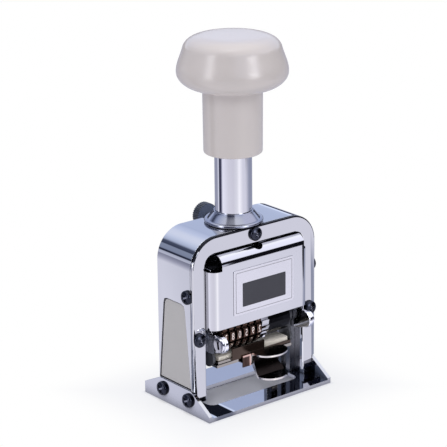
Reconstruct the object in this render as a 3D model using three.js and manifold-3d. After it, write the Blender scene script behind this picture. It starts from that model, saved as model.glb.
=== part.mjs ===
// Hand numbering machine with a push handle, modelled in millimetres.
// X runs to the right, Y to the rear and Z up. The origin is the middle of the base, on the table.
// The handle pushes a carriage of number wheels down through the frame onto the paper,
// while the ink pad under the wheels swings forward out of their way.

import * as THREE from "three";
import { mergeVertices } from "three/addons/utils/BufferGeometryUtils.js";
import Module from "manifold-3d";

const wasm = await Module();
wasm.setup();

// Overall sizes. The widths of the frame and the base follow from the bank of wheels inside.
const baseDepth = 42.7;
const baseMargin = 0.25;
const frameTop = 73.4;
const handleTop = 150.5;
const stroke = 22;

// Clearances: flat seats, running gaps beside moving parts, slack round shafts, overrun of cuts
const seatGap = 0.1;
const runGap = 0.3;
const shaftSlack = 0.15;
const overrun = 1;

// Base plate: one pressing with a window under the wheels and a flange up each side
const plateThickness = 1.6;
const flangeThickness = 1.6;
const flangeTop = 9.9;
const flangeFrontHeight = 2.4;
const flangeRearHeight = 4.9;
const flangeTopFront = 9.5;
const flangeTopRear = 11;
const baseWindowFront = 11.3;
const baseWindowRear = 6.3;
const baseWindowCorner = 3;

// Frame: a cast inverted U with a rear wall, open at the front
const frameWall = 4.5;
const frameRoof = 5;
const frameCorner = 12.4;
const frameInnerCorner = 3;
const frameEdge = 0.8;
const rearWall = 2;
const rearWindowTop = 64;
const windowCorner = 4.5;

// Front plate: the bezel round the cover
const frontPlateThickness = 1.4;
const frontPlateEdge = 0.5;
const legLap = 1.55;
const legFoot = 4.6;
const legFootCorner = 2;
const frontWindowTop = 66.7;

// Side panels: plastic trapezoids let into the frame
const panelThickness = 1.3;
const panelRecess = 1.6;
const panelLow = 10.5;
const panelHigh = 45.5;
const panelMiddle = 0.9;
const panelLowHalf = 10;
const panelHighHalf = 6.6;
const panelCorner = 2.4;
const panelGap = 0.35;

// Screws: black pan heads
const screwRadius = 1.25;
const screwHeadRadius = 2.9;
const screwHeadHeight = 1.9;
const screwHeadEdge = 0.7;
const screwCrownShare = 0.8;
const screwLength = 3;
const screwHoleSlack = 0.2;
const frontScrewZ = 31.8;
const topScrewZ = 70.4;
const sideScrewFront = 8;
const sideScrewZ = 49.8;
const baseScrewZ = 5.6;
const baseScrewFront = 7.9;
const baseScrewRear = 9;

// Press axis, a little left of the middle of the frame
const pressX = -1.7;
const pressY = 0;

// Guide tube, its collar, nut and bush
const tubeRadius = 7.6;
const tubeWall = 1.3;
const tubeRoom = 1.5;
const collarRadius = 12.1;
const collarRim = 1.5;
const collarHeight = 5;
const tubeNutWall = 1.05;
const tubeNutRoom = 0.75;
const tubeNutHeight = 4.5;
const bushHeight = 4.8;

// Press rod, return spring and handle. The handle's outline has its heights in shares of its height.
const rodRadius = 4;
const rodGrip = 3.5;
const rodNutAcross = 12;
const rodNutHeight = 3.8;
const springWire = 1.1;
const springTurns = 9;
const springRoom = 2.5;
const cupHeight = 2;
const neckTopRadius = 12.1;
const neckBottomRadius = 11.9;
const neckBottom = 102.6;
const neckTopShare = 246 / 479;
const knobRadius = 22.4;
const knobWidestShare = 332 / 479;
const knobShoulderRadius = 19.6;
const knobShoulderShare = 434 / 479;
const knobBellyRadius = 16.5;
const knobBellyShare = 260 / 479;
const knobFlat = 10;
const knobCrown = 4;
const neckEdge = 0.6;

// Lock: a knurled knob behind the roof that pushes a pin into the press rod
const lockTravel = 2.5;
const lockPinRadius = 1.3;
const lockPinZ = 71.4;
const lockKnobRadius = 5.2;
const lockKnobDepth = 3.5;
const lockReach = 5.6;
const lockNotch = 0.5;
const lockRibs = 24;

// Carriage
const shaftY = -5.5;
const shaftZ = 30;
const shaftRadius = 2.5;
const cheekThickness = 1.8;
const cheekTop = 60;
const cheekFront = -11.2;
const cheekRear = 6;
const cheekBottom = 24.5;
const cheekLobeY = -17.3;
const cheekLobeRadius = 3.4;
const crossheadLow = 54;
const crossheadTop = 62.8;
const crossheadBoss = 7;
const runnerHalf = 1.3;
const runnerLow = 51;
const railThickness = 2.75;
const railHalf = 4;
const railGroove = 1.9;
const shaftNutAcross = 6;
const shaftNutThickness = 1.4;
const shaftEndGap = 0.2;
const stopHeadRadius = 3.1;
const stopHeadThickness = 1.1;
const stopSlot = 0.8;

// Face cover: a pressed shell that stands out through the front plate
const coverSideGap = 0.6;
const coverFront = -15.6;
const coverRear = -9.3;
const coverLow = 35.3;
const coverTop = 65.9;
const coverRoll = 4.2;
const coverSheet = 0.8;
const coverCutLeft = 5.2;
const coverCutRight = 2.8;
const coverCutHigh = 6;
const coverNotch = 2.9;
const coverNotchReach = 2.3;
const labelHalfWidth = 15.8;
const labelLow = 39.4;
const labelHigh = 58.6;
const labelShift = 1;
const labelThickness = 0.25;
const labelCorner = 0.8;

// Back plate of the carriage with the repeat selector
const backPlateFront = 7;
const backPlateThickness = 1;
const backPlateLow = 30;
const dialRadius = 9;
const dialThickness = 0.8;
const dialZ = 42;
const leverThickness = 1;
const leverLength = 13;
const leverEnd = 1.6;
const leverHub = 3;
const leverPegRadius = 1.5;
const leverPegHeight = 3;

// Number wheels and their drive, measured from the wheel shaft
const wheelCount = 6;
const figureCount = 10;
const wheelPitch = 3.5;
const wheelGap = 0.3;
const bankGap = 0.5;
const wheelRadius = 8;
const drumRadius = 7;
const figureWidth = 2.2;
const figureHeight = 4;
const figureRingWidth = 2.4;
const ratchetTip = 6.5;
const ratchetRoot = 5.5;
const driveWidth = 3.6;
const driveTip = 7.4;
const driveRoot = 6.6;
const driveTeeth = 20;
const spacerRadius = 6.4;
const spacerWidth = 11.5;

// Feed yoke and pawl, measured from the wheel shaft
const yokeThickness = 0.9;
const yokeBoss = 4.2;
const yokeReach = 10.2;
const yokeRestAngle = THREE.MathUtils.degToRad(-15);
const pawlRodRadius = 1;
const pawlSleeve = 1.7;
const pawlTip = 7.35;
const pawlTooth = 0.7;
const pawlToothHeight = 1.2;

// Detent springs above the wheels
const detentBarY = 3.6;
const detentBarZ = 11.6;
const detentBarHalf = 1.2;
const detentFinger = 0.45;
const detentFingerWidth = 2.2;
const detentTipY = -1.5;
const detentClear = 0.4;

// Ink pad, tray and holder, measured from the wheel shaft
const padClear = 0.3;
const feltThickness = 2.4;
const feltFront = -4.6;
const feltRear = 2.6;
const feltGap = 0.2;
const trayWall = 0.7;
const trayLip = 10.3;
const guardLeft = 12.5;
const guardRight = 4.5;
const guardTop = 6.3;
const tabTop = 9.9;
const tabHalfWidth = 7.75;
const tabReach = 6;
const tabRoot = -9.7;
const tabShift = 4.75;
const tabThickness = 0.8;
const armThickness = 1.2;
const armBoss = 4.5;
const armLobeY = -0.8;
const armLobeRadius = 3.7;
const armWaistShare = 0.8;
const holderThickness = 1.2;
const holderFront = -5.4;
const holderRear = 3.3;
const holderGap = 0.4;
const holderPadHalf = 2;

// Release lever under the pad holder, measured from the wheel shaft
const leverPinY = -4.4;
const leverPinDrop = 1.9;
const leverPinRadius = 0.7;
const leverPinHalf = 8.9;
const earThickness = 1;
const earRadius = 1.5;
const lipDrop = 10.3;
const lipSheet = 0.8;
const lipHalfWidth = 7;
const lipShift = 5.5;
const webTop = 2;
const webTaper = 4;
const latchReach = 1.5;
const stripTop = 10.4;
const stripLow = 15.4;
const stripWide = 4.3;
const stripShift = -3.2;
const stripSheet = 0.5;

// Facets
const fineSides = 36;
const roundSides = 24;
const smallSides = 12;
const arcSteps = 3;
const knobSteps = 6;
const bevelSteps = 2;
const springSteps = 9;
const springSides = 3;
const mergeDistanceShare = 1e-6;

// Widths, worked out from the bank of wheels outward to the base
const bankHalfWidth = (wheelCount * wheelPitch + driveWidth + wheelGap + spacerWidth) / 2;
const yokeInner = bankHalfWidth + bankGap;
const yokeOuter = yokeInner + yokeThickness;
const armInner = yokeOuter + runGap;
const armOuter = armInner + armThickness;
const trayHalfWidth = armInner - 2 * runGap;
const cheekInner = armOuter + runGap;
const cheekOuter = cheekInner + cheekThickness;
const runnerStep = cheekOuter + runGap;
const baseWindowHalfWidth = cheekOuter + runGap;
const rearWindowHalfWidth = baseWindowHalfWidth + seatGap;
const railInner = cheekOuter + seatGap + shaftNutThickness + shaftEndGap;
const runnerReach = railInner + railGroove - runGap;
const wallInner = railInner + railThickness + seatGap;
const legInner = wallInner - legLap;
const coverHalfWidth = legInner - coverSideGap;
const frameHalf = wallInner + frameWall;
const frontScrewX = (legInner + frameHalf) / 2;
const frameWidth = 2 * frameHalf;
const baseWidth = frameWidth + 2 * baseMargin;

// Depths, worked out from the guide tube outward to the frame
const tubeNutAcross = 2 * (tubeRadius + tubeNutWall);
const frameRear = tubeNutAcross / 2 + tubeNutRoom + rearWall;
const frameDepth = 2 * frameRear;
const plateFace = -frameRear;
const seamY = plateFace + frontPlateThickness;
const lockKnobFront = frameRear + lockReach;
const lockKnobRear = lockKnobFront + lockKnobDepth;

// Heights of the handle, and under it of the rod, the tube and the spring
const handleHeight = handleTop - neckBottom;
const neckTop = neckBottom + handleHeight * neckTopShare;
const knobBellyZ = neckBottom + handleHeight * knobBellyShare;
const knobWidest = neckBottom + handleHeight * knobWidestShare;
const knobShoulderZ = neckBottom + handleHeight * knobShoulderShare;
const rodTop = handleTop - knobCrown;
const hollowTop = rodTop - rodGrip;
const tubeTop = hollowTop - stroke - tubeRoom;
const springTop = tubeTop - springRoom;

// Derived places
const roofUnder = frameTop - frameRoof;
const flangeInner = baseWidth / 2 - flangeThickness;
const tubeInner = tubeRadius - tubeWall;
const tubeFoot = roofUnder - seatGap - tubeNutHeight;
const springFoot = frameTop + bushHeight;
const feltTop = -wheelRadius - padClear;
const trayFloor = feltTop - feltThickness;
const trayUnder = trayFloor - trayWall;
const holderTop = trayUnder - holderGap;
const holderUnder = holderTop - holderThickness;
const trayFront = feltFront - feltGap - trayWall;
const trayRear = feltRear + feltGap + trayWall;
const leverPinZ = holderUnder - leverPinDrop;
const lipTop = -tabTop - lipDrop;
const coverInnerFace = coverFront + coverSheet;

// Materials
function finish(color, roughness, metalness) {
  return new THREE.MeshStandardMaterial({ color, roughness, metalness });
}

const chrome = finish(0xd6d8de, 0.08, 1);
const plateChrome = finish(0xc4c6cc, 0.05, 1);
const steel = finish(0xb0b2b6, 0.3, 1);
const blackSteel = finish(0x1c1c20, 0.35, 0.8);
const brass = finish(0xb39a68, 0.35, 1);
const bronze = finish(0xb98a74, 0.35, 1);
const whitePlastic = finish(0xd9d7d2, 0.35, 0);
const greyPlastic = finish(0xb7b5b1, 0.5, 0);
const blackPlastic = finish(0x24262b, 0.5, 0);
const labelWhite = finish(0xdcdce0, 0.3, 0);
const inkFelt = finish(0xcfc6b6, 0.95, 0);

// Geometry helpers
const axisX = new THREE.Vector3(1, 0, 0);
const axisY = new THREE.Vector3(0, 1, 0);
const axisZ = new THREE.Vector3(0, 0, 1);
const profileAcross = new THREE.Matrix4().makeBasis(axisY, axisZ, axisX);
const profileFacing = new THREE.Matrix4().makeBasis(axisX, axisZ, axisY.clone().negate());

// A closed geometry with shared vertices, no flat slivers and its faces pointing out
function closed(geometry) {
  const bare = geometry.clone();
  bare.deleteAttribute("normal");
  bare.deleteAttribute("uv");
  const merged = mergeVertices(bare, frameWidth * mergeDistanceShare);
  const old = merged.index.array;
  const points = merged.attributes.position;
  const kept = [];
  const a = new THREE.Vector3();
  const b = new THREE.Vector3();
  const c = new THREE.Vector3();
  let volume = 0;
  for (let i = 0; i < old.length; i += 3) {
    const [p, q, r] = [old[i], old[i + 1], old[i + 2]];
    if (p === q || q === r || r === p) continue;
    kept.push(p, q, r);
    a.fromBufferAttribute(points, p);
    b.fromBufferAttribute(points, q);
    c.fromBufferAttribute(points, r);
    volume += a.dot(b.cross(c));
  }
  merged.setIndex(volume < 0 ? kept.reverse() : kept);
  return merged;
}

function solid(geometry) {
  const shape = closed(geometry);
  const vertProperties = Float32Array.from(shape.attributes.position.array);
  const triVerts = Uint32Array.from(shape.index.array);
  return new wasm.Manifold(new wasm.Mesh({ numProp: 3, vertProperties, triVerts }));
}

function geometryOf(body) {
  const mesh = body.getMesh();
  const geometry = new THREE.BufferGeometry();
  geometry.setAttribute("position", new THREE.BufferAttribute(Float32Array.from(mesh.vertProperties), 3));
  geometry.setIndex(Array.from(mesh.triVerts));
  return geometry;
}

function cut(geometry, ...tools) {
  return geometryOf(tools.reduce((left, tool) => left.subtract(solid(tool)), solid(geometry)));
}

function joined(geometry, ...others) {
  return geometryOf(others.reduce((sum, other) => sum.add(solid(other)), solid(geometry)));
}

function common(geometry, other) {
  return geometryOf(solid(geometry).intersect(solid(other)));
}

function box(x0, x1, y0, y1, z0, z1) {
  const geometry = new THREE.BoxGeometry(x1 - x0, y1 - y0, z1 - z0);
  return geometry.translate((x0 + x1) / 2, (y0 + y1) / 2, (z0 + z1) / 2);
}

// An outline pulled to a thickness, with its edges rounded where a radius is given
function pulled(shape, low, high, round = 0, curveSegments = arcSteps) {
  const geometry = new THREE.ExtrudeGeometry(shape, {
    depth: high - low - 2 * round,
    curveSegments,
    bevelEnabled: round > 0,
    bevelThickness: round,
    bevelSize: round,
    bevelOffset: -round,
    bevelSegments: bevelSteps,
  });
  return geometry.translate(0, 0, low + round);
}

// Plates by the way they face: an outline in Y and Z, in X and Z, or in X and Y
const plateAcross = (shape, x0, x1, ...rest) => pulled(shape, x0, x1, ...rest).applyMatrix4(profileAcross);
const plateFacing = (shape, y0, y1, ...rest) => pulled(shape, -y1, -y0, ...rest).applyMatrix4(profileFacing);
const plateFlat = (shape, z0, z1, ...rest) => pulled(shape, z0, z1, ...rest);

function polygon(points) {
  return new THREE.Shape(points.map(([u, v]) => new THREE.Vector2(u, v)));
}

function disc(radius) {
  return new THREE.Shape().absarc(0, 0, radius, 0, 2 * Math.PI);
}

function cylinder(direction, radius, low, high, sides = roundSides) {
  const geometry = new THREE.CylinderGeometry(radius, radius, high - low, sides);
  geometry.translate(0, (low + high) / 2, 0);
  return geometry.applyQuaternion(new THREE.Quaternion().setFromUnitVectors(axisY, direction));
}

// A profile of radius and height turned about the Z axis
function turned(points, sides = fineSides) {
  const profile = points.map(([r, z]) => new THREE.Vector2(r, z));
  return new THREE.LatheGeometry(profile, sides).rotateX(Math.PI / 2);
}

function hexagon(across) {
  const corner = across / Math.sqrt(3);
  const points = [];
  for (let i = 0; i < 6; i += 1) {
    const angle = (i * Math.PI) / 3;
    points.push([corner * Math.cos(angle), corner * Math.sin(angle)]);
  }
  return polygon(points);
}

// An outline with a level foot and two round upper corners
function arch(half, low, high, corner) {
  const shape = new THREE.Shape();
  shape.moveTo(-half, low);
  shape.lineTo(half, low);
  shape.lineTo(half, high - corner);
  shape.absarc(half - corner, high - corner, corner, 0, Math.PI / 2);
  shape.lineTo(-half + corner, high);
  shape.absarc(-half + corner, high - corner, corner, Math.PI / 2, Math.PI);
  return shape;
}

function roundedRectangle(u0, u1, v0, v1, corner) {
  const shape = new THREE.Shape();
  shape.moveTo(u0 + corner, v0);
  shape.absarc(u1 - corner, v0 + corner, corner, -Math.PI / 2, 0);
  shape.absarc(u1 - corner, v1 - corner, corner, 0, Math.PI / 2);
  shape.absarc(u0 + corner, v1 - corner, corner, Math.PI / 2, Math.PI);
  shape.absarc(u0 + corner, v0 + corner, corner, Math.PI, 1.5 * Math.PI);
  return shape;
}

// Teeth round a disc: each has a steep face at its start and slopes down to the next
function ratchetOutline(teeth, tip, root) {
  const points = [];
  for (let i = 0; i < teeth; i += 1) {
    const angle = (i * 2 * Math.PI) / teeth;
    points.push([root * Math.cos(angle), root * Math.sin(angle)]);
    points.push([tip * Math.cos(angle), tip * Math.sin(angle)]);
  }
  return polygon(points);
}

// The scene graph: one group for each body that moves by itself
const machine = new THREE.Group();
const frame = new THREE.Group();
const carriage = new THREE.Group();
const wheelBank = new THREE.Group();
const padSwing = new THREE.Group();
const feed = new THREE.Group();
wheelBank.position.set(0, shaftY, shaftZ);
padSwing.position.set(0, shaftY, shaftZ);
feed.position.set(0, shaftY, shaftZ);
const tower = new THREE.Group();
const press = new THREE.Group();
const lock = new THREE.Group();
tower.position.set(pressX, pressY, 0);
press.position.set(pressX, pressY, 0);
lock.position.set(pressX, pressY, lockPinZ);
machine.add(frame, tower, press, lock, carriage, wheelBank, padSwing, feed);

function add(group, name, geometry, material) {
  const mesh = new THREE.Mesh(closed(geometry), material);
  mesh.name = name;
  group.add(mesh);
  return mesh;
}

// Base plate
function flangeOutline() {
  return polygon([
    [-baseDepth / 2, 0],
    [baseDepth / 2, 0],
    [baseDepth / 2, flangeRearHeight],
    [flangeTopRear, flangeTop],
    [-flangeTopFront, flangeTop],
    [-baseDepth / 2, flangeFrontHeight],
  ]);
}

function baseScrewHoles() {
  return [-baseScrewFront, baseScrewRear].map((y) =>
    cylinder(axisX, screwRadius + screwHoleSlack, -baseWidth, baseWidth, smallSides).translate(0, y, baseScrewZ)
  );
}

function basePlate() {
  const sheet = box(-baseWidth / 2, baseWidth / 2, -baseDepth / 2, baseDepth / 2, 0, plateThickness);
  const left = plateAcross(flangeOutline(), -baseWidth / 2, -flangeInner);
  const right = plateAcross(flangeOutline(), flangeInner, baseWidth / 2);
  const window = roundedRectangle(
    -baseWindowHalfWidth,
    baseWindowHalfWidth,
    -baseWindowFront,
    baseWindowRear,
    baseWindowCorner
  );
  const opening = plateFlat(window, -overrun, plateThickness + overrun);
  return cut(joined(sheet, left, right), opening, ...baseScrewHoles());
}

add(frame, "base_plate", basePlate(), plateChrome);

// Frame body
function panelOutline(grow) {
  const low = panelLow - grow;
  const high = panelHigh + grow;
  const lowHalf = panelLowHalf + grow;
  const highHalf = panelHighHalf + grow;
  const shape = new THREE.Shape();
  shape.moveTo(panelMiddle - lowHalf, low);
  shape.lineTo(panelMiddle + lowHalf, low);
  shape.lineTo(panelMiddle + highHalf, high - panelCorner);
  shape.quadraticCurveTo(panelMiddle + highHalf, high, panelMiddle + highHalf - panelCorner, high);
  shape.lineTo(panelMiddle - highHalf + panelCorner, high);
  shape.quadraticCurveTo(panelMiddle - highHalf, high, panelMiddle - highHalf, high - panelCorner);
  return shape;
}

function screwHole(direction, length) {
  return cylinder(direction, screwRadius + screwHoleSlack, -length, length, smallSides);
}

// Room beside the frame for the flanges of the base
function flangeRecesses() {
  return [-1, 1].map((side) => {
    const x0 = side < 0 ? -frameWidth : flangeInner - seatGap;
    const x1 = side < 0 ? -flangeInner + seatGap : frameWidth;
    return box(x0, x1, -baseDepth, baseDepth, -overrun, flangeTop + seatGap);
  });
}

function frameBody() {
  const outer = plateFacing(
    arch(frameHalf, plateThickness + seatGap, frameTop, frameCorner),
    seamY,
    frameRear,
    frameEdge,
    2 * arcSteps
  );
  const cavityShape = arch(wallInner, -overrun, roofUnder, frameInnerCorner);
  const cavity = plateFacing(cavityShape, seamY - overrun, frameRear - rearWall);
  const rearWindow = plateFacing(
    arch(rearWindowHalfWidth, -overrun, rearWindowTop, windowCorner),
    frameRear - rearWall - overrun,
    frameRear + overrun
  );
  const tools = [cavity, rearWindow, ...flangeRecesses()];
  for (const side of [-1, 1]) {
    const recessLow = side < 0 ? -frameHalf - overrun : frameHalf - panelRecess;
    const recessHigh = side < 0 ? -frameHalf + panelRecess : frameHalf + overrun;
    tools.push(plateAcross(panelOutline(panelGap), recessLow, recessHigh));
    tools.push(screwHole(axisX, screwLength).translate(side * frameHalf, -sideScrewFront, sideScrewZ));
    tools.push(screwHole(axisY, screwLength).translate(side * frontScrewX, seamY, frontScrewZ));
  }
  tools.push(screwHole(axisY, screwLength - frontPlateThickness).translate(0, seamY, topScrewZ));
  const tubeHole = cylinder(axisZ, tubeRadius + seatGap, roofUnder - overrun, frameTop + overrun, fineSides);
  tools.push(tubeHole.translate(pressX, pressY, 0), lockPinHole().translate(pressX, pressY, 0));
  return cut(outer, ...tools, ...baseScrewHoles());
}

add(frame, "frame_body", frameBody(), chrome);

// Front plate
function frontPlate() {
  const shape = new THREE.Shape();
  const topLine = frameTop - frameCorner;
  const windowLine = frontWindowTop - windowCorner;
  const foot = legFoot + legFootCorner;
  shape.moveTo(frameHalf - legFootCorner, legFoot);
  shape.absarc(frameHalf - legFootCorner, foot, legFootCorner, -Math.PI / 2, 0);
  shape.lineTo(frameHalf, topLine);
  shape.absarc(frameHalf - frameCorner, topLine, frameCorner, 0, Math.PI / 2);
  shape.absarc(-frameHalf + frameCorner, topLine, frameCorner, Math.PI / 2, Math.PI);
  shape.lineTo(-frameHalf, foot);
  shape.absarc(-frameHalf + legFootCorner, foot, legFootCorner, Math.PI, 1.5 * Math.PI);
  shape.lineTo(-legInner, legFoot);
  shape.lineTo(-legInner, windowLine);
  shape.absarc(-legInner + windowCorner, windowLine, windowCorner, Math.PI, Math.PI / 2, true);
  shape.absarc(legInner - windowCorner, windowLine, windowCorner, Math.PI / 2, 0, true);
  shape.lineTo(legInner, legFoot);
  const plate = plateFacing(shape, plateFace, seamY - seatGap, frontPlateEdge, 2 * arcSteps);
  return cut(
    plate,
    ...flangeRecesses(),
    screwHole(axisY, frameDepth).translate(0, 0, topScrewZ),
    screwHole(axisY, frameDepth).translate(-frontScrewX, 0, frontScrewZ),
    screwHole(axisY, frameDepth).translate(frontScrewX, 0, frontScrewZ)
  );
}

add(frame, "front_plate", frontPlate(), chrome);

// Side panels
function sidePanel() {
  const seat = frameHalf - panelRecess;
  return plateAcross(panelOutline(0), seat + seatGap, seat + panelThickness);
}

add(frame, "side_panel_left", sidePanel(), greyPlastic).scale.x = -1;
add(frame, "side_panel_right", sidePanel(), greyPlastic);

// Screws, each turned to face out of the surface it holds
function panScrew() {
  return turned(
    [
      [0, -screwLength + screwHoleSlack],
      [screwRadius, -screwLength + screwHoleSlack],
      [screwRadius, 0],
      [screwHeadRadius, 0],
      [screwHeadRadius, screwHeadEdge],
      [screwHeadRadius * screwCrownShare, (screwHeadHeight + screwHeadHeight * screwCrownShare) / 2],
      [0, screwHeadHeight],
    ],
    fineSides / 2
  );
}

function addScrew(name, x, y, z, outward) {
  const screw = add(frame, name, panScrew(), blackSteel);
  screw.position.set(x, y, z).addScaledVector(outward, seatGap);
  screw.quaternion.setFromUnitVectors(axisZ, outward);
}

const front = axisY.clone().negate();
addScrew("front_screw_top", 0, plateFace, topScrewZ, front);
for (const [word, side] of [["left", -1], ["right", 1]]) {
  const outward = axisX.clone().multiplyScalar(side);
  addScrew(`front_screw_${word}`, side * frontScrewX, plateFace, frontScrewZ, front);
  addScrew(`side_screw_${word}`, side * frameHalf, -sideScrewFront, sideScrewZ, outward);
  addScrew(`base_screw_front_${word}`, (side * baseWidth) / 2, -baseScrewFront, baseScrewZ, outward);
  addScrew(`base_screw_rear_${word}`, (side * baseWidth) / 2, baseScrewRear, baseScrewZ, outward);
}

// Guide rails for the carriage, one on each wall
function guideRail() {
  const grooveHalf = runnerHalf + runGap;
  const groove = railInner + railGroove;
  const shape = polygon([
    [railInner, -railHalf],
    [wallInner - seatGap, -railHalf],
    [wallInner - seatGap, railHalf],
    [railInner, railHalf],
    [railInner, grooveHalf],
    [groove, grooveHalf],
    [groove, -grooveHalf],
    [railInner, -grooveHalf],
  ]);
  return plateFlat(shape, plateThickness + seatGap, roofUnder - frameInnerCorner);
}

add(frame, "guide_rail_left", guideRail(), steel).rotation.z = Math.PI;
add(frame, "guide_rail_right", guideRail(), steel);

// Guide tube with its collar, nut and bush
function lockPinHole() {
  const hole = cylinder(axisY, lockPinRadius + shaftSlack, 0, frameRear + overrun, smallSides);
  return hole.translate(0, 0, lockPinZ);
}

function guideTube() {
  const wall = turned([
    [tubeInner, tubeFoot],
    [tubeRadius, tubeFoot],
    [tubeRadius, tubeTop],
    [tubeInner, tubeTop],
    [tubeInner, tubeFoot],
  ]);
  return cut(wall, lockPinHole());
}

function collar() {
  const foot = frameTop + seatGap;
  const bore = tubeRadius + seatGap;
  const outline = new THREE.Path();
  outline.moveTo(bore, foot);
  outline.lineTo(collarRadius, foot);
  const rim = foot + collarRim;
  outline.quadraticCurveTo(collarRadius + seatGap, rim, collarRadius - collarRim, rim);
  outline.quadraticCurveTo(bore + collarRim, rim, bore + collarRim / 2, foot + collarHeight);
  outline.lineTo(bore, foot + collarHeight);
  outline.lineTo(bore, foot);
  return turned(outline.getPoints(2 * arcSteps).map((p) => [p.x, p.y]));
}

function ring(inner, outer, low, high, sides = roundSides) {
  return turned(
    [
      [inner, low],
      [outer, low],
      [outer, high],
      [inner, high],
      [inner, low],
    ],
    sides
  );
}

add(tower, "guide_tube", guideTube(), chrome);
add(tower, "tube_collar", collar(), chrome);
const tubeNut = cut(
  plateFlat(hexagon(tubeNutAcross), tubeFoot, roofUnder - seatGap),
  cylinder(axisZ, tubeRadius + seatGap, tubeFoot - overrun, frameTop, fineSides)
);
add(tower, "tube_nut", tubeNut, steel);
add(tower, "rod_bush", ring(rodRadius + shaftSlack, tubeInner - seatGap, frameTop, springFoot), brass);

// Handle, press rod, spring and crosshead
function handleKnob() {
  const outline = new THREE.Path();
  const bore = tubeRadius + runGap;
  const shoulderSlope = knobWidest + (knobShoulderZ - knobWidest) / 3;
  const bellySlope = knobWidest - (knobWidest - knobBellyZ) / 2;
  outline.moveTo(0, handleTop);
  outline.lineTo(knobFlat, handleTop - neckEdge / 3);
  outline.quadraticCurveTo(
    knobShoulderRadius - neckEdge,
    handleTop - neckEdge,
    knobShoulderRadius,
    knobShoulderZ
  );
  outline.bezierCurveTo(
    (knobShoulderRadius + knobRadius) / 2,
    knobWidest + (knobShoulderZ - knobWidest) / 2,
    knobRadius,
    shoulderSlope,
    knobRadius,
    knobWidest
  );
  outline.bezierCurveTo(
    knobRadius,
    bellySlope,
    (knobRadius + knobBellyRadius) / 2,
    knobBellyZ + neckEdge,
    knobBellyRadius,
    knobBellyZ
  );
  outline.lineTo(neckTopRadius, neckTop);
  outline.lineTo(neckBottomRadius, neckBottom + neckEdge);
  outline.lineTo(neckBottomRadius - neckEdge, neckBottom);
  outline.lineTo(bore, neckBottom);
  outline.lineTo(bore, hollowTop);
  outline.lineTo(rodRadius + seatGap, hollowTop);
  outline.lineTo(rodRadius + seatGap, rodTop + seatGap);
  outline.lineTo(0, rodTop + seatGap);
  return turned(outline.getPoints(knobSteps).map((p) => [p.x, p.y]));
}

function pressRod() {
  const rod = cylinder(axisZ, rodRadius, crossheadLow - rodNutHeight - overrun, rodTop);
  const notchReach = rodRadius - lockTravel + seatGap + lockNotch;
  const notchEnd = rodRadius - notchReach - lockNotch;
  const notch = cylinder(axisY, lockPinRadius + runGap, notchEnd, tubeInner, smallSides);
  const highNotch = notch.clone().translate(0, 0, lockPinZ + stroke);
  return cut(rod, notch.clone().translate(0, 0, lockPinZ), highNotch);
}

class Helix extends THREE.Curve {
  constructor(radius, low, high, turns) {
    super();
    Object.assign(this, { radius, low, high, turns });
  }

  getPoint(t, target = new THREE.Vector3()) {
    const angle = 2 * Math.PI * this.turns * t;
    const height = this.low + (this.high - this.low) * t;
    return target.set(this.radius * Math.cos(angle), this.radius * Math.sin(angle), height);
  }
}

function returnSpring() {
  const low = springFoot + springWire;
  const high = springTop - springWire;
  const middle = (rodRadius + tubeInner) / 2;
  return new THREE.ExtrudeGeometry(disc(springWire / 2), {
    steps: springTurns * springSteps,
    curveSegments: springSides,
    bevelEnabled: false,
    extrudePath: new Helix(middle, low, high, springTurns),
  });
}

function crosshead() {
  const half = cheekInner - seatGap;
  const block = box(-half, half, cheekFront, cheekRear, crossheadLow, cheekTop);
  const bridge = box(-runnerReach, runnerReach, -railHalf, railHalf, cheekTop + seatGap, crossheadTop);
  const bridgeRoot = box(-half, half, -railHalf, railHalf, crossheadLow, crossheadTop);
  const boss = box(-crossheadBoss, crossheadBoss, coverInnerFace + seatGap, 0, crossheadLow, cheekTop);
  const bore = cylinder(axisZ, rodRadius + seatGap, crossheadLow - overrun, crossheadTop + overrun);
  const tools = [bore.translate(pressX, pressY, 0)];
  const parts = [bridge, bridgeRoot, boss];
  for (const side of [-1, 1]) {
    const inner = side < 0 ? -runnerReach : runnerStep;
    const outer = side < 0 ? -runnerStep : runnerReach;
    parts.push(box(inner, outer, -runnerHalf, runnerHalf, runnerLow, crossheadTop));
    const x0 = side < 0 ? -frameHalf : railInner - runGap;
    const x1 = side < 0 ? -railInner + runGap : frameHalf;
    tools.push(box(x0, x1, runnerHalf, frameDepth, runnerLow - overrun, frameTop));
    tools.push(box(x0, x1, -frameDepth, -runnerHalf, runnerLow - overrun, frameTop));
  }
  return cut(joined(block, ...parts), ...tools);
}

add(press, "handle_knob", handleKnob(), whitePlastic);
add(press, "press_rod", pressRod(), steel);
add(press, "return_spring", returnSpring(), steel);
const cupInner = rodRadius + seatGap;
add(press, "spring_cup", ring(cupInner, tubeInner - runGap, springTop, springTop + cupHeight), brass);
add(carriage, "crosshead", crosshead(), steel);
const rodNut = cut(
  plateFlat(hexagon(rodNutAcross), crossheadLow - seatGap - rodNutHeight, crossheadLow - seatGap),
  cylinder(axisZ, rodRadius + seatGap, 0, frameTop)
);
add(press, "rod_nut", rodNut, steel);

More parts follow.
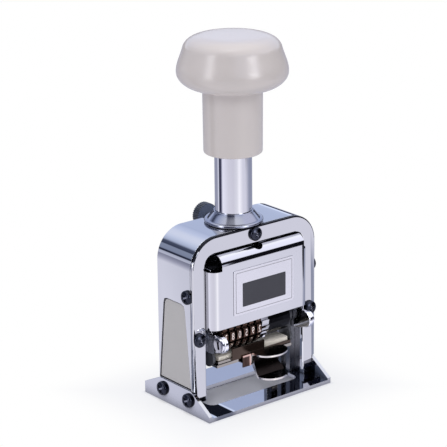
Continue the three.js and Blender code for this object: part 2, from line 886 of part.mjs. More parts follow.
// Cheeks: the side plates of the carriage, each with a lobe in front that carries a stop screw
function cheek() {
  const lobeTop = shaftZ + cheekLobeRadius - seatGap;
  const shape = new THREE.Shape();
  shape.moveTo(cheekRear, cheekTop);
  shape.lineTo(cheekFront, cheekTop);
  shape.lineTo(cheekFront, shaftZ + 2 * cheekLobeRadius);
  shape.quadraticCurveTo(cheekFront, lobeTop, cheekFront - cheekLobeRadius / 2, lobeTop);
  shape.lineTo(cheekLobeY, lobeTop);
  shape.absarc(cheekLobeY, shaftZ - seatGap, cheekLobeRadius, Math.PI / 2, 1.5 * Math.PI);
  shape.lineTo(cheekFront, cheekBottom);
  shape.lineTo(cheekRear - 2 * cheekLobeRadius, cheekBottom);
  shape.quadraticCurveTo(cheekRear, cheekBottom, cheekRear, cheekBottom + 2 * cheekLobeRadius);
  const plate = plateAcross(shape, cheekInner, cheekOuter, 0, 2 * arcSteps);
  const shaftHole = cylinder(axisX, shaftRadius + seatGap, 0, frameWidth, roundSides);
  shaftHole.translate(0, shaftY, shaftZ);
  const stopHole = cylinder(axisX, screwRadius + screwHoleSlack, 0, frameWidth, smallSides);
  return cut(plate, shaftHole, stopHole.translate(0, cheekLobeY, shaftZ));
}

function stopScrew() {
  const headFoot = cheekOuter + seatGap;
  const shank = cylinder(axisX, screwRadius, cheekInner + seatGap, headFoot + seatGap, smallSides);
  const head = cylinder(axisX, stopHeadRadius, headFoot, headFoot + stopHeadThickness, roundSides);
  const slotFloor = headFoot + stopHeadThickness / 2;
  const slot = box(slotFloor, frameHalf, -stopSlot / 2, stopSlot / 2, -frameHalf, frameHalf);
  return cut(joined(head, shank), slot).translate(0, cheekLobeY, shaftZ);
}

function shaftNut() {
  const seat = cheekOuter + seatGap;
  const nut = plateAcross(hexagon(shaftNutAcross), seat, seat + shaftNutThickness);
  return cut(nut, cylinder(axisX, shaftRadius + seatGap, 0, frameWidth)).translate(0, shaftY, shaftZ);
}

for (const [word, side] of [["left", -1], ["right", 1]]) {
  add(carriage, `cheek_${word}`, cheek(), chrome).scale.x = side;
  add(carriage, `stop_screw_${word}`, stopScrew(), steel).scale.x = side;
  add(carriage, `shaft_nut_${word}`, shaftNut(), steel).scale.x = side;
}
const shaftEnd = cheekOuter + seatGap + shaftNutThickness + seatGap;
const wheelShaft = cylinder(axisX, shaftRadius, -shaftEnd, shaftEnd).translate(0, shaftY, shaftZ);
add(carriage, "wheel_shaft", wheelShaft, steel);

// Face cover: a shell with rolled edges at the sides and the top, cut square at its upper corners,
// and with a notch in the middle of its top
function coverBlock(inset) {
  const half = coverHalfWidth - inset;
  const high = coverTop - inset;
  const roll = coverRoll - inset;
  const shape = polygon([
    [-half, coverLow - 2 * coverRoll],
    [half, coverLow - 2 * coverRoll],
    [half, high],
    [-half, high],
  ]);
  const geometry = new THREE.ExtrudeGeometry(shape, {
    depth: 2 * coverRoll,
    bevelEnabled: true,
    bevelThickness: roll,
    bevelSize: roll,
    bevelOffset: -roll,
    bevelSegments: arcSteps,
  });
  return geometry.applyMatrix4(profileFacing).translate(0, coverFront + inset + 2 * coverRoll + roll, 0);
}

function faceCover() {
  const keep = box(-frameHalf, frameHalf, coverFront - overrun, coverRear, coverLow, coverTop + overrun);
  const shell = cut(common(coverBlock(0), keep), coverBlock(coverSheet));
  const cutZ = coverTop - coverCutHigh;
  const left = box(-frameHalf, coverCutLeft - coverHalfWidth, -frameDepth, 0, cutZ, frameTop);
  const right = box(coverHalfWidth - coverCutRight, frameHalf, -frameDepth, 0, cutZ, frameTop);
  const notchFront = coverRear - coverNotchReach;
  const notch = cylinder(axisZ, coverNotch, coverTop - coverRoll, frameTop, smallSides);
  const mouth = box(-coverNotch, coverNotch, notchFront, coverRear + overrun, coverTop - coverRoll, frameTop);
  return cut(shell, left, right, notch.translate(0, notchFront, 0), mouth);
}

add(carriage, "face_cover", faceCover(), chrome);
const labelShape = roundedRectangle(
  labelShift - labelHalfWidth,
  labelShift + labelHalfWidth,
  labelLow,
  labelHigh,
  labelCorner
);
const labelRear = coverFront - seatGap / 2;
add(carriage, "label_plate", plateFacing(labelShape, labelRear - labelThickness, labelRear), labelWhite);

// Back plate with the repeat selector
const plateRear = backPlateFront + backPlateThickness;
const dialRear = plateRear + seatGap + dialThickness;
function pivotHole() {
  return cylinder(axisY, screwRadius + seatGap, 0, frameDepth, smallSides).translate(0, 0, dialZ);
}

const backSpan = roundedRectangle(-cheekInner, cheekInner, backPlateLow, cheekTop, panelCorner);
const backPlate = cut(plateFacing(backSpan, backPlateFront, plateRear), pivotHole());
add(carriage, "back_plate", joined(backPlate, ...backFeet()), steel);
const dial = cylinder(axisY, dialRadius, plateRear + seatGap, dialRear).translate(0, 0, dialZ);
add(carriage, "selector_dial", cut(dial, pivotHole()), chrome);
const pivotFoot = backPlateFront + seatGap;
const pivotEnd = dialRear + seatGap + leverThickness + seatGap;
const pivotShank = cylinder(axisY, screwRadius, pivotFoot, pivotEnd + seatGap, smallSides);
const pivotHead = cylinder(axisY, leverHub - seatGap, pivotEnd, pivotEnd + overrun, smallSides);
add(carriage, "selector_pivot", joined(pivotShank, pivotHead).translate(0, 0, dialZ), steel);

// Lugs that stand between the back plate and the rear of the crosshead
function backFeet() {
  const reach = cheekRear + seatGap;
  return [-1, 1].map((side) => {
    const middle = (side * cheekInner) / 2;
    return box(middle - leverHub, middle + leverHub, reach, backPlateFront + seatGap, crossheadLow, cheekTop);
  });
}

function selectorLever() {
  const shape = new THREE.Shape();
  shape.absarc(0, dialZ, leverHub, 0, Math.PI);
  shape.lineTo(-leverEnd, dialZ - leverLength);
  shape.absarc(0, dialZ - leverLength, leverEnd, Math.PI, 2 * Math.PI);
  const low = dialRear + seatGap;
  const arm = cut(plateFacing(shape, low, low + leverThickness, 0, 2 * arcSteps), pivotHole());
  const peg = cylinder(axisY, leverPegRadius, low, low + leverThickness + leverPegHeight, smallSides);
  return joined(arm, peg.translate(0, 0, dialZ - leverLength));
}

add(carriage, "selector_lever", selectorLever(), blackSteel);

// Detent springs: a comb of fingers over the wheels, on a bar between the cheeks
const wheelLow = (i) => -bankHalfWidth + i * wheelPitch;

function detentComb() {
  const half = cheekInner - seatGap;
  const y0 = shaftY + detentBarY;
  const z0 = shaftZ + detentBarZ;
  const barHalf = detentBarHalf;
  const bar = box(-half, half, y0 - barHalf, y0 + barHalf, z0 - barHalf, z0 + barHalf);
  const fingers = [];
  const low = shaftZ + wheelRadius + detentClear;
  for (let i = 0; i < wheelCount; i += 1) {
    const middle = wheelLow(i) + wheelPitch / 2;
    const outline = polygon([
      [y0, z0 - detentFinger],
      [y0, z0 + detentFinger],
      [shaftY + detentTipY, low + 2 * detentFinger],
      [shaftY + 2 * detentTipY, low + detentFinger],
      [shaftY + detentTipY, low],
    ]);
    fingers.push(plateAcross(outline, middle - detentFingerWidth / 2, middle + detentFingerWidth / 2));
  }
  return joined(bar, ...fingers);
}

add(carriage, "detent_comb", detentComb(), steel);

// Number wheels: each has a ring of raised figure blocks and a ratchet beside it
function wheelOutline(outer) {
  const points = [];
  const half = figureHeight / wheelRadius / 2;
  for (let i = 0; i < figureCount; i += 1) {
    const middle = (i * 2 * Math.PI) / figureCount;
    const top = [
      [outer, middle - half],
      [outer, middle],
      [outer, middle + half],
    ];
    const foot = [drumRadius, middle - half];
    const end = [drumRadius, middle + half];
    const corners = outer > drumRadius ? [foot, ...top, end] : top;
    for (const [radius, angle] of corners) {
      points.push([radius * Math.cos(angle), radius * Math.sin(angle)]);
    }
  }
  return polygon(points);
}

function numberWheel() {
  const inset = (figureRingWidth - figureWidth) / 2;
  const width = wheelPitch - wheelGap;
  const blocks = plateAcross(wheelOutline(wheelRadius), inset, inset + figureWidth);
  const drum = plateAcross(wheelOutline(drumRadius), 0, figureRingWidth);
  const ratchet = plateAcross(ratchetOutline(figureCount, ratchetTip, ratchetRoot), 0, width);
  const bore = cylinder(axisX, shaftRadius + shaftSlack, -overrun, width + overrun);
  return cut(joined(drum, blocks, ratchet), bore);
}

for (let i = 0; i < wheelCount; i += 1) {
  add(wheelBank, `number_wheel_${i + 1}`, numberWheel(), brass).position.x = wheelLow(i);
}

const driveLow = wheelLow(wheelCount);
const driveHigh = driveLow + driveWidth;
const driveDisc = plateAcross(ratchetOutline(driveTeeth, driveTip, driveRoot), driveLow, driveHigh);
const driveBore = cylinder(axisX, shaftRadius + shaftSlack, 0, frameHalf);
add(wheelBank, "drive_ratchet", cut(driveDisc, driveBore), steel);
const spacerRing = cylinder(axisX, spacerRadius, driveHigh + wheelGap, bankHalfWidth);
add(wheelBank, "spacer_bush", cut(spacerRing, driveBore), blackSteel);

// Feed yoke: two arms on the wheel shaft and a rod between them that carries the pawl
const rodY = yokeReach * Math.cos(yokeRestAngle);
const rodZ = yokeReach * Math.sin(yokeRestAngle);

function yokeArm() {
  const shape = new THREE.Shape();
  const side = Math.PI / 2;
  shape.absarc(0, 0, yokeBoss, yokeRestAngle + side, yokeRestAngle - side);
  shape.absarc(rodY, rodZ, pawlSleeve, yokeRestAngle - side, yokeRestAngle + side);
  const plate = plateAcross(shape, yokeInner, yokeOuter, 0, 2 * arcSteps);
  return cut(plate, cylinder(axisX, shaftRadius + shaftSlack, 0, frameHalf));
}

function feedYoke() {
  const mirror = yokeArm().scale(-1, 1, 1);
  const rod = cylinder(axisX, pawlRodRadius, -yokeInner - seatGap, yokeInner + seatGap, smallSides);
  return joined(yokeArm(), closed(mirror), rod.translate(0, rodY, rodZ));
}

function feedPawl() {
  const half = yokeInner - runGap;
  const sleeve = cylinder(axisX, pawlSleeve, -half, half, smallSides);
  const teeth = [];
  for (let i = 0; i < wheelCount; i += 1) {
    const middle = wheelLow(i) + (figureRingWidth + wheelPitch) / 2;
    const length = yokeReach - pawlTip;
    const tooth = box(-pawlTooth / 2, pawlTooth / 2, -length, 0, -pawlToothHeight / 2, pawlToothHeight / 2);
    teeth.push(tooth.rotateX(yokeRestAngle).translate(middle, 0, 0));
  }
  const bore = cylinder(axisX, pawlRodRadius + shaftSlack, -frameHalf, frameHalf, smallSides);
  return cut(joined(sleeve, ...teeth), bore).translate(0, rodY, rodZ);
}

add(feed, "feed_yoke", feedYoke(), steel);
add(feed, "feed_pawl", feedPawl(), brass);

// Pad holder: two arms on the wheel shaft and a floor between them
function padArm() {
  const boss = cylinder(axisX, armBoss, armInner, armOuter);
  const lobeZ = holderUnder + armLobeRadius;
  const lobe = cylinder(axisX, armLobeRadius, armInner, armOuter).translate(0, armLobeY, lobeZ);
  const waist = armLobeRadius * armWaistShare;
  const web = plateAcross(
    polygon([
      [armLobeY - waist, lobeZ],
      [armLobeY + waist, lobeZ],
      [waist, 0],
      [-waist, 0],
    ]),
    armInner,
    armOuter
  );
  return cut(joined(boss, lobe, web), cylinder(axisX, shaftRadius + shaftSlack, 0, frameHalf));
}

function padHolder() {
  const half = armInner - seatGap;
  const floor = box(-half, half, holderFront, holderRear, holderUnder, holderTop);
  const ears = [-1, 1].map((side) => {
    const middle = lipShift + side * (leverPinHalf - earThickness);
    const x0 = middle - earThickness / 2;
    const ear = polygon([
      [leverPinY - earRadius, holderTop - seatGap],
      [leverPinY - earRadius, leverPinZ],
      [leverPinY, leverPinZ - earRadius],
      [leverPinY + earRadius, leverPinZ],
      [leverPinY + earRadius, holderTop - seatGap],
    ]);
    return plateAcross(ear, x0, x0 + earThickness);
  });
  const pads = [-1, 1].map((side) => {
    const middle = (side * trayHalfWidth) / 2;
    return box(
      middle - holderPadHalf,
      middle + holderPadHalf,
      -holderPadHalf,
      holderPadHalf,
      holderTop - seatGap,
      trayUnder - seatGap
    );
  });
  const pinHole = cylinder(axisX, leverPinRadius + seatGap, -frameHalf, frameHalf, smallSides);
  return cut(joined(floor, ...ears, ...pads), pinHole.translate(0, leverPinY, leverPinZ));
}

// Round front of the finger tab and of the lever's lip: a half ellipse
function tabFront(shape, shift, half) {
  shape.lineTo(shift + half, tabRoot);
  shape.absellipse(shift, tabRoot, half, tabReach, 0, -Math.PI, true);
}

// The tab narrows on the right toward its root, where it turns up into the guard of the tray
function tabOutline() {
  const root = trayFront - trayWall;
  const shape = new THREE.Shape();
  shape.moveTo(tabShift - tabHalfWidth, trayFront + trayWall / 2);
  shape.lineTo(guardRight, trayFront + trayWall / 2);
  shape.lineTo(guardRight, root);
  shape.quadraticCurveTo(tabShift + tabHalfWidth, root, tabShift + tabHalfWidth, tabRoot);
  tabFront(shape, tabShift, tabHalfWidth);
  return shape;
}

// Tray of folded sheet: the guard stands in front of the felt and carries the finger tab
function padTray() {
  const half = trayHalfWidth;
  const tray = box(-half, half, trayFront, trayRear, trayUnder, -trayLip);
  const inner = half - trayWall;
  const hollow = box(-inner, inner, trayFront + trayWall, trayRear - trayWall, trayFloor, 0);
  const tab = plateFlat(tabOutline(), -tabTop - tabThickness, -tabTop, 0, 2 * arcSteps);
  const face = trayFront - trayWall;
  const guard = box(-guardLeft, guardRight, face, trayFront, trayUnder, -guardTop);
  const guardSeat = box(-guardLeft, guardRight, face, trayFront + trayWall / 2, trayUnder, -trayLip);
  return cut(joined(tray, tab, guard, guardSeat), hollow);
}

function feltPad() {
  const half = trayHalfWidth - trayWall - feltGap;
  return box(-half, half, feltFront, feltRear, trayFloor + seatGap, feltTop);
}

function releaseSpring() {
  const top = holderUnder - seatGap;
  const rear = trayFront - trayWall - feltGap;
  const outline = polygon([
    [rear, -stripTop],
    [rear - stripSheet, -stripTop],
    [rear - stripSheet, -stripLow],
    [rear, -stripLow],
    [rear, top - stripSheet],
    [rear + stripWide, top - stripSheet],
    [rear + stripWide, top],
    [rear, top],
  ]);
  return plateAcross(outline, stripShift - stripWide, stripShift);
}

for (const [word, side] of [["left", -1], ["right", 1]]) {
  add(padSwing, `pad_arm_${word}`, padArm(), blackPlastic).scale.x = side;
}
add(padSwing, "pad_holder", padHolder(), steel);
add(padSwing, "pad_tray", padTray(), chrome);
add(padSwing, "ink_pad", feltPad(), inkFelt);
add(padSwing, "release_spring", releaseSpring(), bronze);
const pinLow = lipShift - leverPinHalf;
const pinHigh = lipShift + leverPinHalf;
const leverPin = cylinder(axisX, leverPinRadius, pinLow, pinHigh, smallSides);
add(padSwing, "release_pin", leverPin.translate(0, leverPinY, leverPinZ), steel);

// Release lever: a curved web that hangs from its pin, a finger lip in front and a latch behind
function releaseLever() {
  const x0 = lipShift - lipHalfWidth;
  const x1 = lipShift + lipHalfWidth;
  const sleeve = cylinder(axisX, earRadius, x0, x1, smallSides).translate(0, leverPinY, leverPinZ);
  const webHigh = leverPinZ + webTop;
  const bend = leverPinY - earRadius - lipSheet;
  const shape = new THREE.Shape();
  shape.moveTo(leverPinY - earRadius / 2, leverPinZ);
  shape.lineTo(leverPinY - earRadius, webHigh);
  shape.lineTo(leverPinY - earRadius - lipSheet / 2, webHigh);
  shape.quadraticCurveTo(bend, (webHigh + lipTop) / 2, tabRoot, lipTop - lipSheet);
  shape.lineTo(tabRoot + lipSheet, lipTop - lipSheet);
  shape.quadraticCurveTo(
    bend + lipSheet,
    (leverPinZ + lipTop) / 2,
    leverPinY - earRadius / 2,
    leverPinZ - lipSheet
  );
  const slope = polygon([
    [x1 - webTaper, webHigh + overrun],
    [x1 + overrun, webHigh + overrun],
    [x1 + overrun, lipTop + overrun],
    [x1, lipTop + overrun],
  ]);
  const web = cut(plateAcross(shape, x0, x1), plateFacing(slope, tabRoot - tabReach, leverPinY - earRadius));
  const latch = box(x0, x1, leverPinY, latchReach, leverPinZ - earRadius, leverPinZ - earRadius + lipSheet);
  const lipShape = new THREE.Shape();
  lipShape.moveTo(x0, tabRoot + lipSheet);
  lipShape.lineTo(x1, tabRoot + lipSheet);
  tabFront(lipShape, lipShift, lipHalfWidth);
  const lip = plateFlat(lipShape, lipTop - lipSheet, lipTop, 0, 2 * arcSteps);
  const bore = cylinder(axisX, leverPinRadius + shaftSlack, -frameHalf, frameHalf, smallSides);
  return cut(joined(sleeve, web, latch, lip), bore.translate(0, leverPinY, leverPinZ));
}

add(padSwing, "release_lever", releaseLever(), chrome);

// Lock: a knurled knob on a pin that slides through the roof of the frame
function lockKnob() {
  const shape = ratchetOutline(lockRibs, lockKnobRadius, lockKnobRadius - lockNotch);
  return plateFacing(shape, lockKnobFront, lockKnobRear);
}

const pinTip = rodRadius + runGap;
const lockPin = cylinder(axisY, lockPinRadius, pinTip, lockKnobFront - seatGap, smallSides);
add(lock, "lock_knob", lockKnob(), blackPlastic);
add(lock, "lock_pin", lockPin, steel);

export default machine;
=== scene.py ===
# %% [markdown]
# A hand numbering machine is a desk tool that prints a number and steps it on at each press. The
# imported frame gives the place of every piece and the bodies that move. This lesson makes what the
# eye sees: the fine surfaces, their finishes, the light and the camera. Each step has its own cell.

# %% Load the frame
import math

import bmesh
import bpy
from mathutils import Matrix, Vector


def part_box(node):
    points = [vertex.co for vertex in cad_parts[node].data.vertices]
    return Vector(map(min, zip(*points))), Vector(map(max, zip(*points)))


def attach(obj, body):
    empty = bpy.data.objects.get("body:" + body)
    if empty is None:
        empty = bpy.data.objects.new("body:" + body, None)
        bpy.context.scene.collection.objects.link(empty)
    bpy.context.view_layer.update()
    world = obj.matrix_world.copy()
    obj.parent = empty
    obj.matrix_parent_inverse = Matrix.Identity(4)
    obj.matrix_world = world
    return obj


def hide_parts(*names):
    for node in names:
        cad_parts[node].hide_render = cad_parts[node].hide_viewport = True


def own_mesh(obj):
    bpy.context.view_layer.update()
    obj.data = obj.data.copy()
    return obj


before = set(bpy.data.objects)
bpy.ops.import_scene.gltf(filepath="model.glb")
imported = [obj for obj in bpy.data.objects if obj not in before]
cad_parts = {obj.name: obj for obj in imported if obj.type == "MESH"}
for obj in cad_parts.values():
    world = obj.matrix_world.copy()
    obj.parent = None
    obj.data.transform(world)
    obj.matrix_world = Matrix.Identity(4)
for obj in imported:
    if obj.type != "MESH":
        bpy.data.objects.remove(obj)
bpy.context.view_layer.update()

MM = 0.001
scene = bpy.context.scene

# %% [markdown]
# The view. The machine is looked at from the front left and from a little above. It could be seen
# with a short lens from near by, which makes the handle loom. A long lens from far away is used
# instead, because the photograph's upright edges run almost parallel.

# %% Camera
IMAGE_SIZE = 447
CAMERA_PLACE = (-479.95, -586.74, 319.5)
CAMERA_AZIMUTH = -38.87
CAMERA_ELEVATION = 18.09
CAMERA_ROLL = -0.59
LENS = 158.2
SENSOR = 36


def add_camera():
    data = bpy.data.cameras.new("camera")
    data.lens = LENS
    data.sensor_width = SENSOR
    data.clip_start = 0.01
    camera = bpy.data.objects.new("camera", data)
    scene.collection.objects.link(camera)
    turn = Matrix.Rotation(math.radians(CAMERA_AZIMUTH), 4, "Z")
    tilt = Matrix.Rotation(math.radians(90 - CAMERA_ELEVATION), 4, "X")
    roll = Matrix.Rotation(math.radians(CAMERA_ROLL), 4, "Z")
    place = Matrix.Translation(Vector(CAMERA_PLACE) * MM)
    camera.matrix_world = place @ turn @ tilt @ roll
    scene.camera = camera
    scene.render.resolution_x = IMAGE_SIZE
    scene.render.resolution_y = IMAGE_SIZE
    scene.render.resolution_percentage = 100
    scene.view_settings.view_transform = "Standard"


add_camera()
print("camera at", CAMERA_PLACE, "mm")

# %% [markdown]
# Colours and nodes. A colour is written as on a screen, such as #c4c4c7, and the renderer counts in
# linear light, so one function turns it over. Finishes and light are chains of nodes. They could be
# set by hand in the editor, but one function that adds any node, with its values, links and
# settings, keeps a long chain readable. It gives back the output that the next node takes. `masked`
# joins several soft edges into one mask, which is 1 where all of them are passed.

# %% Colours and nodes
# A Mix node keeps its two colours and its mixed colour at these places
MIX_A, MIX_B = 6, 7
BLEND = {"output": 2, "data_type": "RGBA"}


def colour(code):
    channels = [int(code[i : i + 2], 16) / 255 for i in (1, 3, 5)]
    linear = [c / 12.92 if c <= 0.04045 else ((c + 0.055) / 1.055) ** 2.4 for c in channels]
    return (*linear, 1)


def node(tree, kind, inputs=None, output=0, stops=(), **settings):
    made = tree.nodes.new("ShaderNode" + kind)
    for name, value in settings.items():
        setattr(made, name, value)
    for name, value in (inputs or {}).items():
        if hasattr(value, "is_output"):
            tree.links.new(value, made.inputs[name])
        else:
            made.inputs[name].default_value = colour(value) if isinstance(value, str) else value
    if stops:
        band = made.color_ramp
        while len(band.elements) < len(stops):
            band.elements.new(0.5)
        for element, (place, code) in zip(band.elements, stops):
            element.position = place
            element.color = colour(code)
    return made.outputs[output] if made.outputs else made


def new_material(name):
    look = bpy.data.materials.new(name)
    look.use_nodes = True
    look.node_tree.nodes.clear()
    return look, look.node_tree, node(look.node_tree, "TexCoord", output="Object")


def masked(tree, *edges):
    share = 1.0
    for value, start, end in edges:
        reach = {"Value": value, "From Min": start, "From Max": end}
        step = node(tree, "MapRange", reach, interpolation_type="SMOOTHSTEP")
        share = node(tree, "Math", {0: share, 1: step}, operation="MULTIPLY")
    return share


print("white in linear light:", colour("#ffffff")[:3])

# %% [markdown]
# The light tent. Chrome has hardly a colour of its own and shows its surroundings, so the studio is
# what makes it look like chrome. A picture of a room could be used, but tones listed one by one put
# each dark and light band where the photograph has it. Below the horizon the pale walls differ
# round the compass. Above it there are three: a dark front under a bright ceiling, a banded left
# and a pale blue rear. Bearings run from the camera's side, to the right as the camera sees it.

# %% Tones of the tent
TENT_LOW = [
    (-180, "#888b9c"), (-140, "#8b8e9f"), (-114, "#9093a5"), (-108, "#d8d9e4"), (-104, "#d0d1de"),
    (-100, "#a4a6b6"), (-96, "#3c3d50"), (-86, "#1c1d34"), (-79, "#6c6d82"), (-69, "#e4e4f0"),
    (-30, "#d0cfda"), (0, "#cbcad5"), (22, "#d8d8e0"), (36, "#f4f3f8"), (60, "#d2d2dd"),
    (76, "#d0d0dc"), (81, "#d0d0dc"), (110, "#8d91a4"), (140, "#868a9c"), (180, "#888b9c"),
]
TENT_FRONT = [
    (0, "#0c0c12"), (0.335, "#0e0e14"), (0.365, "#e2e3f2"), (0.75, "#e8e9f8"), (0.86, "#ffffff"),
    (1, "#ffffff"),
]
TENT_LEFT = [
    (0, "#b4b7c8"), (0.1, "#a8adbf"), (0.13, "#23273a"), (0.18, "#23273a"), (0.22, "#7a839a"),
    (0.38, "#7f889e"), (0.41, "#363c50"), (0.5, "#464d62"), (0.55, "#a5afc8"), (0.62, "#bfc9e0"),
    (0.86, "#ffffff"), (1, "#ffffff"),
]
TENT_REAR = [
    (0, "#11131c"), (0.11, "#171a26"), (0.15, "#c8d2ea"), (0.25, "#c8d2ea"), (0.29, "#a4afca"),
    (0.4, "#a4afcb"), (0.6, "#bcc6e0"), (0.86, "#ffffff"), (1, "#ffffff"),
]
# The walls darken as they rise to the horizon, and give way there to the tones above it
HORIZON_SHADE = [(0, "#ffffff"), (0.35, "#ebebf0"), (1, "#c4c6d0")]
HORIZON_RISE = (-0.31, -0.01)
HORIZON = (-0.02, 0.0)
# The bearings of the front and of the left side, with soft ends
FRONT_SIDE = [(54, "#000000"), (64, "#ffffff"), (116, "#ffffff"), (134, "#000000")]
LEFT_SIDE = [(-134, "#000000"), (-124, "#ffffff"), (-70, "#ffffff"), (-60, "#000000")]
# A dark wedge in the right wall, which the cover's rolled edge sees
WEDGE_BEARING = (76, 77, 98, 104)
WEDGE_RISE = (-0.285, -0.262)
# Bearing, width, lowest and highest height, and for the bright boxes the power
SOFT_BOXES = [(-50, 9, -0.05, 0.55, 2.6), (46, 11, 0.06, 0.42, 4.2), (110, 400, 1.0, 2.0, 0.9)]
DARK_PATCH = (-19, 26, 0.1, 0.86)
DARK_PATCH_TONE = "#2a2d44"
BOX_SOFT = (0.1, 0.12)  # how softly a box ends below and above
TENT_LIGHT = 1.85
DAYLIGHT = 0.5

print("tent:", len(TENT_LOW), "wall tones and", len(SOFT_BOXES), "soft boxes")

# %% [markdown]
# Walls and patches. Seen from the machine, the tent's walls are a strip of tones round the compass,
# and its soft boxes are bright patches on it. Real planes with lights on them could stand round the
# machine, but they would cost render time and get in each other's way. A patch of the world is
# only a mask of bearing and height with soft edges.


# %% Walls and patches of the tent
def compass(tones):
    return [((bearing + 180) / 360, code) for bearing, code in tones]


def patch(tree, share, height, at, wide, low, high, inner=0.2, outer=1.6):
    aside = node(tree, "Math", {0: share, 1: 0.5 + at / 360}, operation="SUBTRACT")
    aside = node(tree, "Math", {0: aside}, operation="ABSOLUTE")
    across = (aside, outer * wide / 360, inner * wide / 360)
    foot, top = BOX_SOFT
    upward = (height, low - foot, low + foot)
    return masked(tree, across, upward, (height, high + top, high - top))


def tent_walls(tree, bearing, share, height, front):
    start, full, fading, end = WEDGE_BEARING
    low, high = HORIZON_RISE
    deep = node(tree, "MapRange", {"Value": height, "From Min": low, "From Max": high})
    shade = node(tree, "ValToRGB", {"Fac": deep}, stops=HORIZON_SHADE)
    walls = node(tree, "ValToRGB", {"Fac": share}, stops=compass(TENT_LOW))
    shaded = {"Factor": 1.0, MIX_A: walls, MIX_B: shade}
    walls = node(tree, "Mix", shaded, **BLEND, blend_type="MULTIPLY")
    degrees = node(tree, "Math", {0: bearing, 1: 180 / math.pi}, operation="MULTIPLY")
    wedge = masked(tree, (degrees, start, full), (degrees, end, fading), (height, *WEDGE_RISE))
    return node(tree, "Mix", {"Factor": wedge, MIX_A: walls, MIX_B: front}, **BLEND)


print("the wall tones start at", compass(TENT_LOW)[0], "and end at", compass(TENT_LOW)[-1])

# %% [markdown]
# The world joins those tones into a whole. The same tones could light everything, but then the
# handle would be striped like the chrome and the background wouldn't be white. So only reflections
# see the tent, rough surfaces get even daylight, and the camera sees plain white.


# %% World
def tent_tones(tree):
    way = node(tree, "TexCoord", output="Generated")
    turn = {"Vector": way, "Angle": math.radians(-CAMERA_AZIMUTH)}
    around = node(tree, "VectorRotate", turn, rotation_type="Z_AXIS")
    parts = node(tree, "SeparateXYZ", {"Vector": around}).node.outputs
    height = parts["Z"]
    ahead = node(tree, "Math", {0: parts["Y"], 1: -1.0}, operation="MULTIPLY")
    bearing = node(tree, "Math", {0: parts["X"], 1: ahead}, operation="ARCTAN2")
    share = node(tree, "Math", {0: bearing, 1: 1 / (2 * math.pi), 2: 0.5}, operation="MULTIPLY_ADD")
    tones = (TENT_FRONT, TENT_LEFT, TENT_REAR)
    front, left, rear = [node(tree, "ValToRGB", {"Fac": height}, stops=stops) for stops in tones]
    above = rear
    for wall, side in ((front, FRONT_SIDE), (left, LEFT_SIDE)):
        where = node(tree, "ValToRGB", {"Fac": share}, stops=compass(side))
        above = node(tree, "Mix", {"Factor": where, MIX_A: above, MIX_B: wall}, **BLEND)
    walls = tent_walls(tree, bearing, share, height, front)
    low, high = HORIZON
    horizon = node(tree, "MapRange", {"Value": height, "From Min": low, "From Max": high})
    tent = node(tree, "Mix", {"Factor": horizon, MIX_A: walls, MIX_B: above}, **BLEND)
    dark = patch(tree, share, height, *DARK_PATCH, inner=0.85, outer=1.15)
    tent = node(tree, "Mix", {"Factor": dark, MIX_A: tent, MIX_B: DARK_PATCH_TONE}, **BLEND)
    for at, wide, low, high, power in SOFT_BOXES:
        spot = patch(tree, share, height, at, wide, low, high)
        beam = {0: (power, power, power), "Scale": spot}
        glow = node(tree, "VectorMath", beam, operation="SCALE")
        tent = node(tree, "VectorMath", {0: tent, 1: glow}, operation="ADD")
    return tent


def make_world():
    world = bpy.data.worlds.new("studio")
    scene.world = world
    world.use_nodes = True
    tree = world.node_tree
    tree.nodes.clear()
    seen = node(tree, "LightPath").node.outputs
    shine = node(tree, "Background", {"Color": tent_tones(tree), "Strength": TENT_LIGHT})
    even = node(tree, "Background", {"Color": "#ffffff", "Strength": DAYLIGHT})
    white = node(tree, "Background", {"Color": "#ffffff", "Strength": 1.0})
    rays = {0: seen["Is Glossy Ray"], 1: seen["Is Transmission Ray"]}
    mirror = node(tree, "Math", rays, operation="MAXIMUM")
    inside = node(tree, "MixShader", {"Fac": mirror, 1: even, 2: shine})
    last = node(tree, "MixShader", {"Fac": seen["Is Camera Ray"], 1: inside, 2: white})
    node(tree, "OutputWorld", {"Surface": last})
    return len(tree.nodes)


print("world made of", make_world(), "nodes")

# %% [markdown]
# Finishing a piece. Every piece is worked as a bmesh in millimetres, as on the drawing, because a
# bmesh can be shaped freely before it is an object. This step closes its seams, turns its faces
# outwards and brings it to metres. It also says what body the piece rides on and gives it its
# finish.

# %% Finishing a piece
SAME = 0.001  # points that are nearer than this are one
SMOOTH_ANGLE = 35  # in degrees: a flatter step between two faces is shaded smooth


def finished(
    name, form, body=None, look=None, at=(0, 0, 0), smooth=SMOOTH_ANGLE
):
    bmesh.ops.remove_doubles(form, verts=form.verts, dist=SAME)
    bmesh.ops.recalc_face_normals(form, faces=form.faces)
    bmesh.ops.translate(form, vec=Vector(at), verts=form.verts)
    bmesh.ops.scale(form, vec=(MM, MM, MM), verts=form.verts)
    mesh = bpy.data.meshes.new(name)
    form.to_mesh(mesh)
    form.free()
    mesh.shade_smooth()
    mesh.set_sharp_from_angle(angle=math.radians(smooth))
    piece = bpy.data.objects.new(name, mesh)
    scene.collection.objects.link(piece)
    if look:
        mesh.materials.append(look)
    if body:
        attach(piece, body)
    return piece


print("sizes are in mm from here on, 1 mm is", MM, "m")

# %% [markdown]
# Table: the machine stands on white paper. A plain diffuse floor would show its far edge and a grey
# gradient, so the sheet is paper close to the base, where the shadow falls, and glows plain white
# further out.

# %% Table
FLOOR_HALF = 400
FLOOR_LOW = -0.05
FLOOR_FADE = 0.035
BASE_REACH = (("X", 0.0325), ("Y", 0.0214))
PAPER = "#dfe1ee"
CLOSE_EDGE = (-0.002, 0.002)
CLOSE_SHARE = 0.72


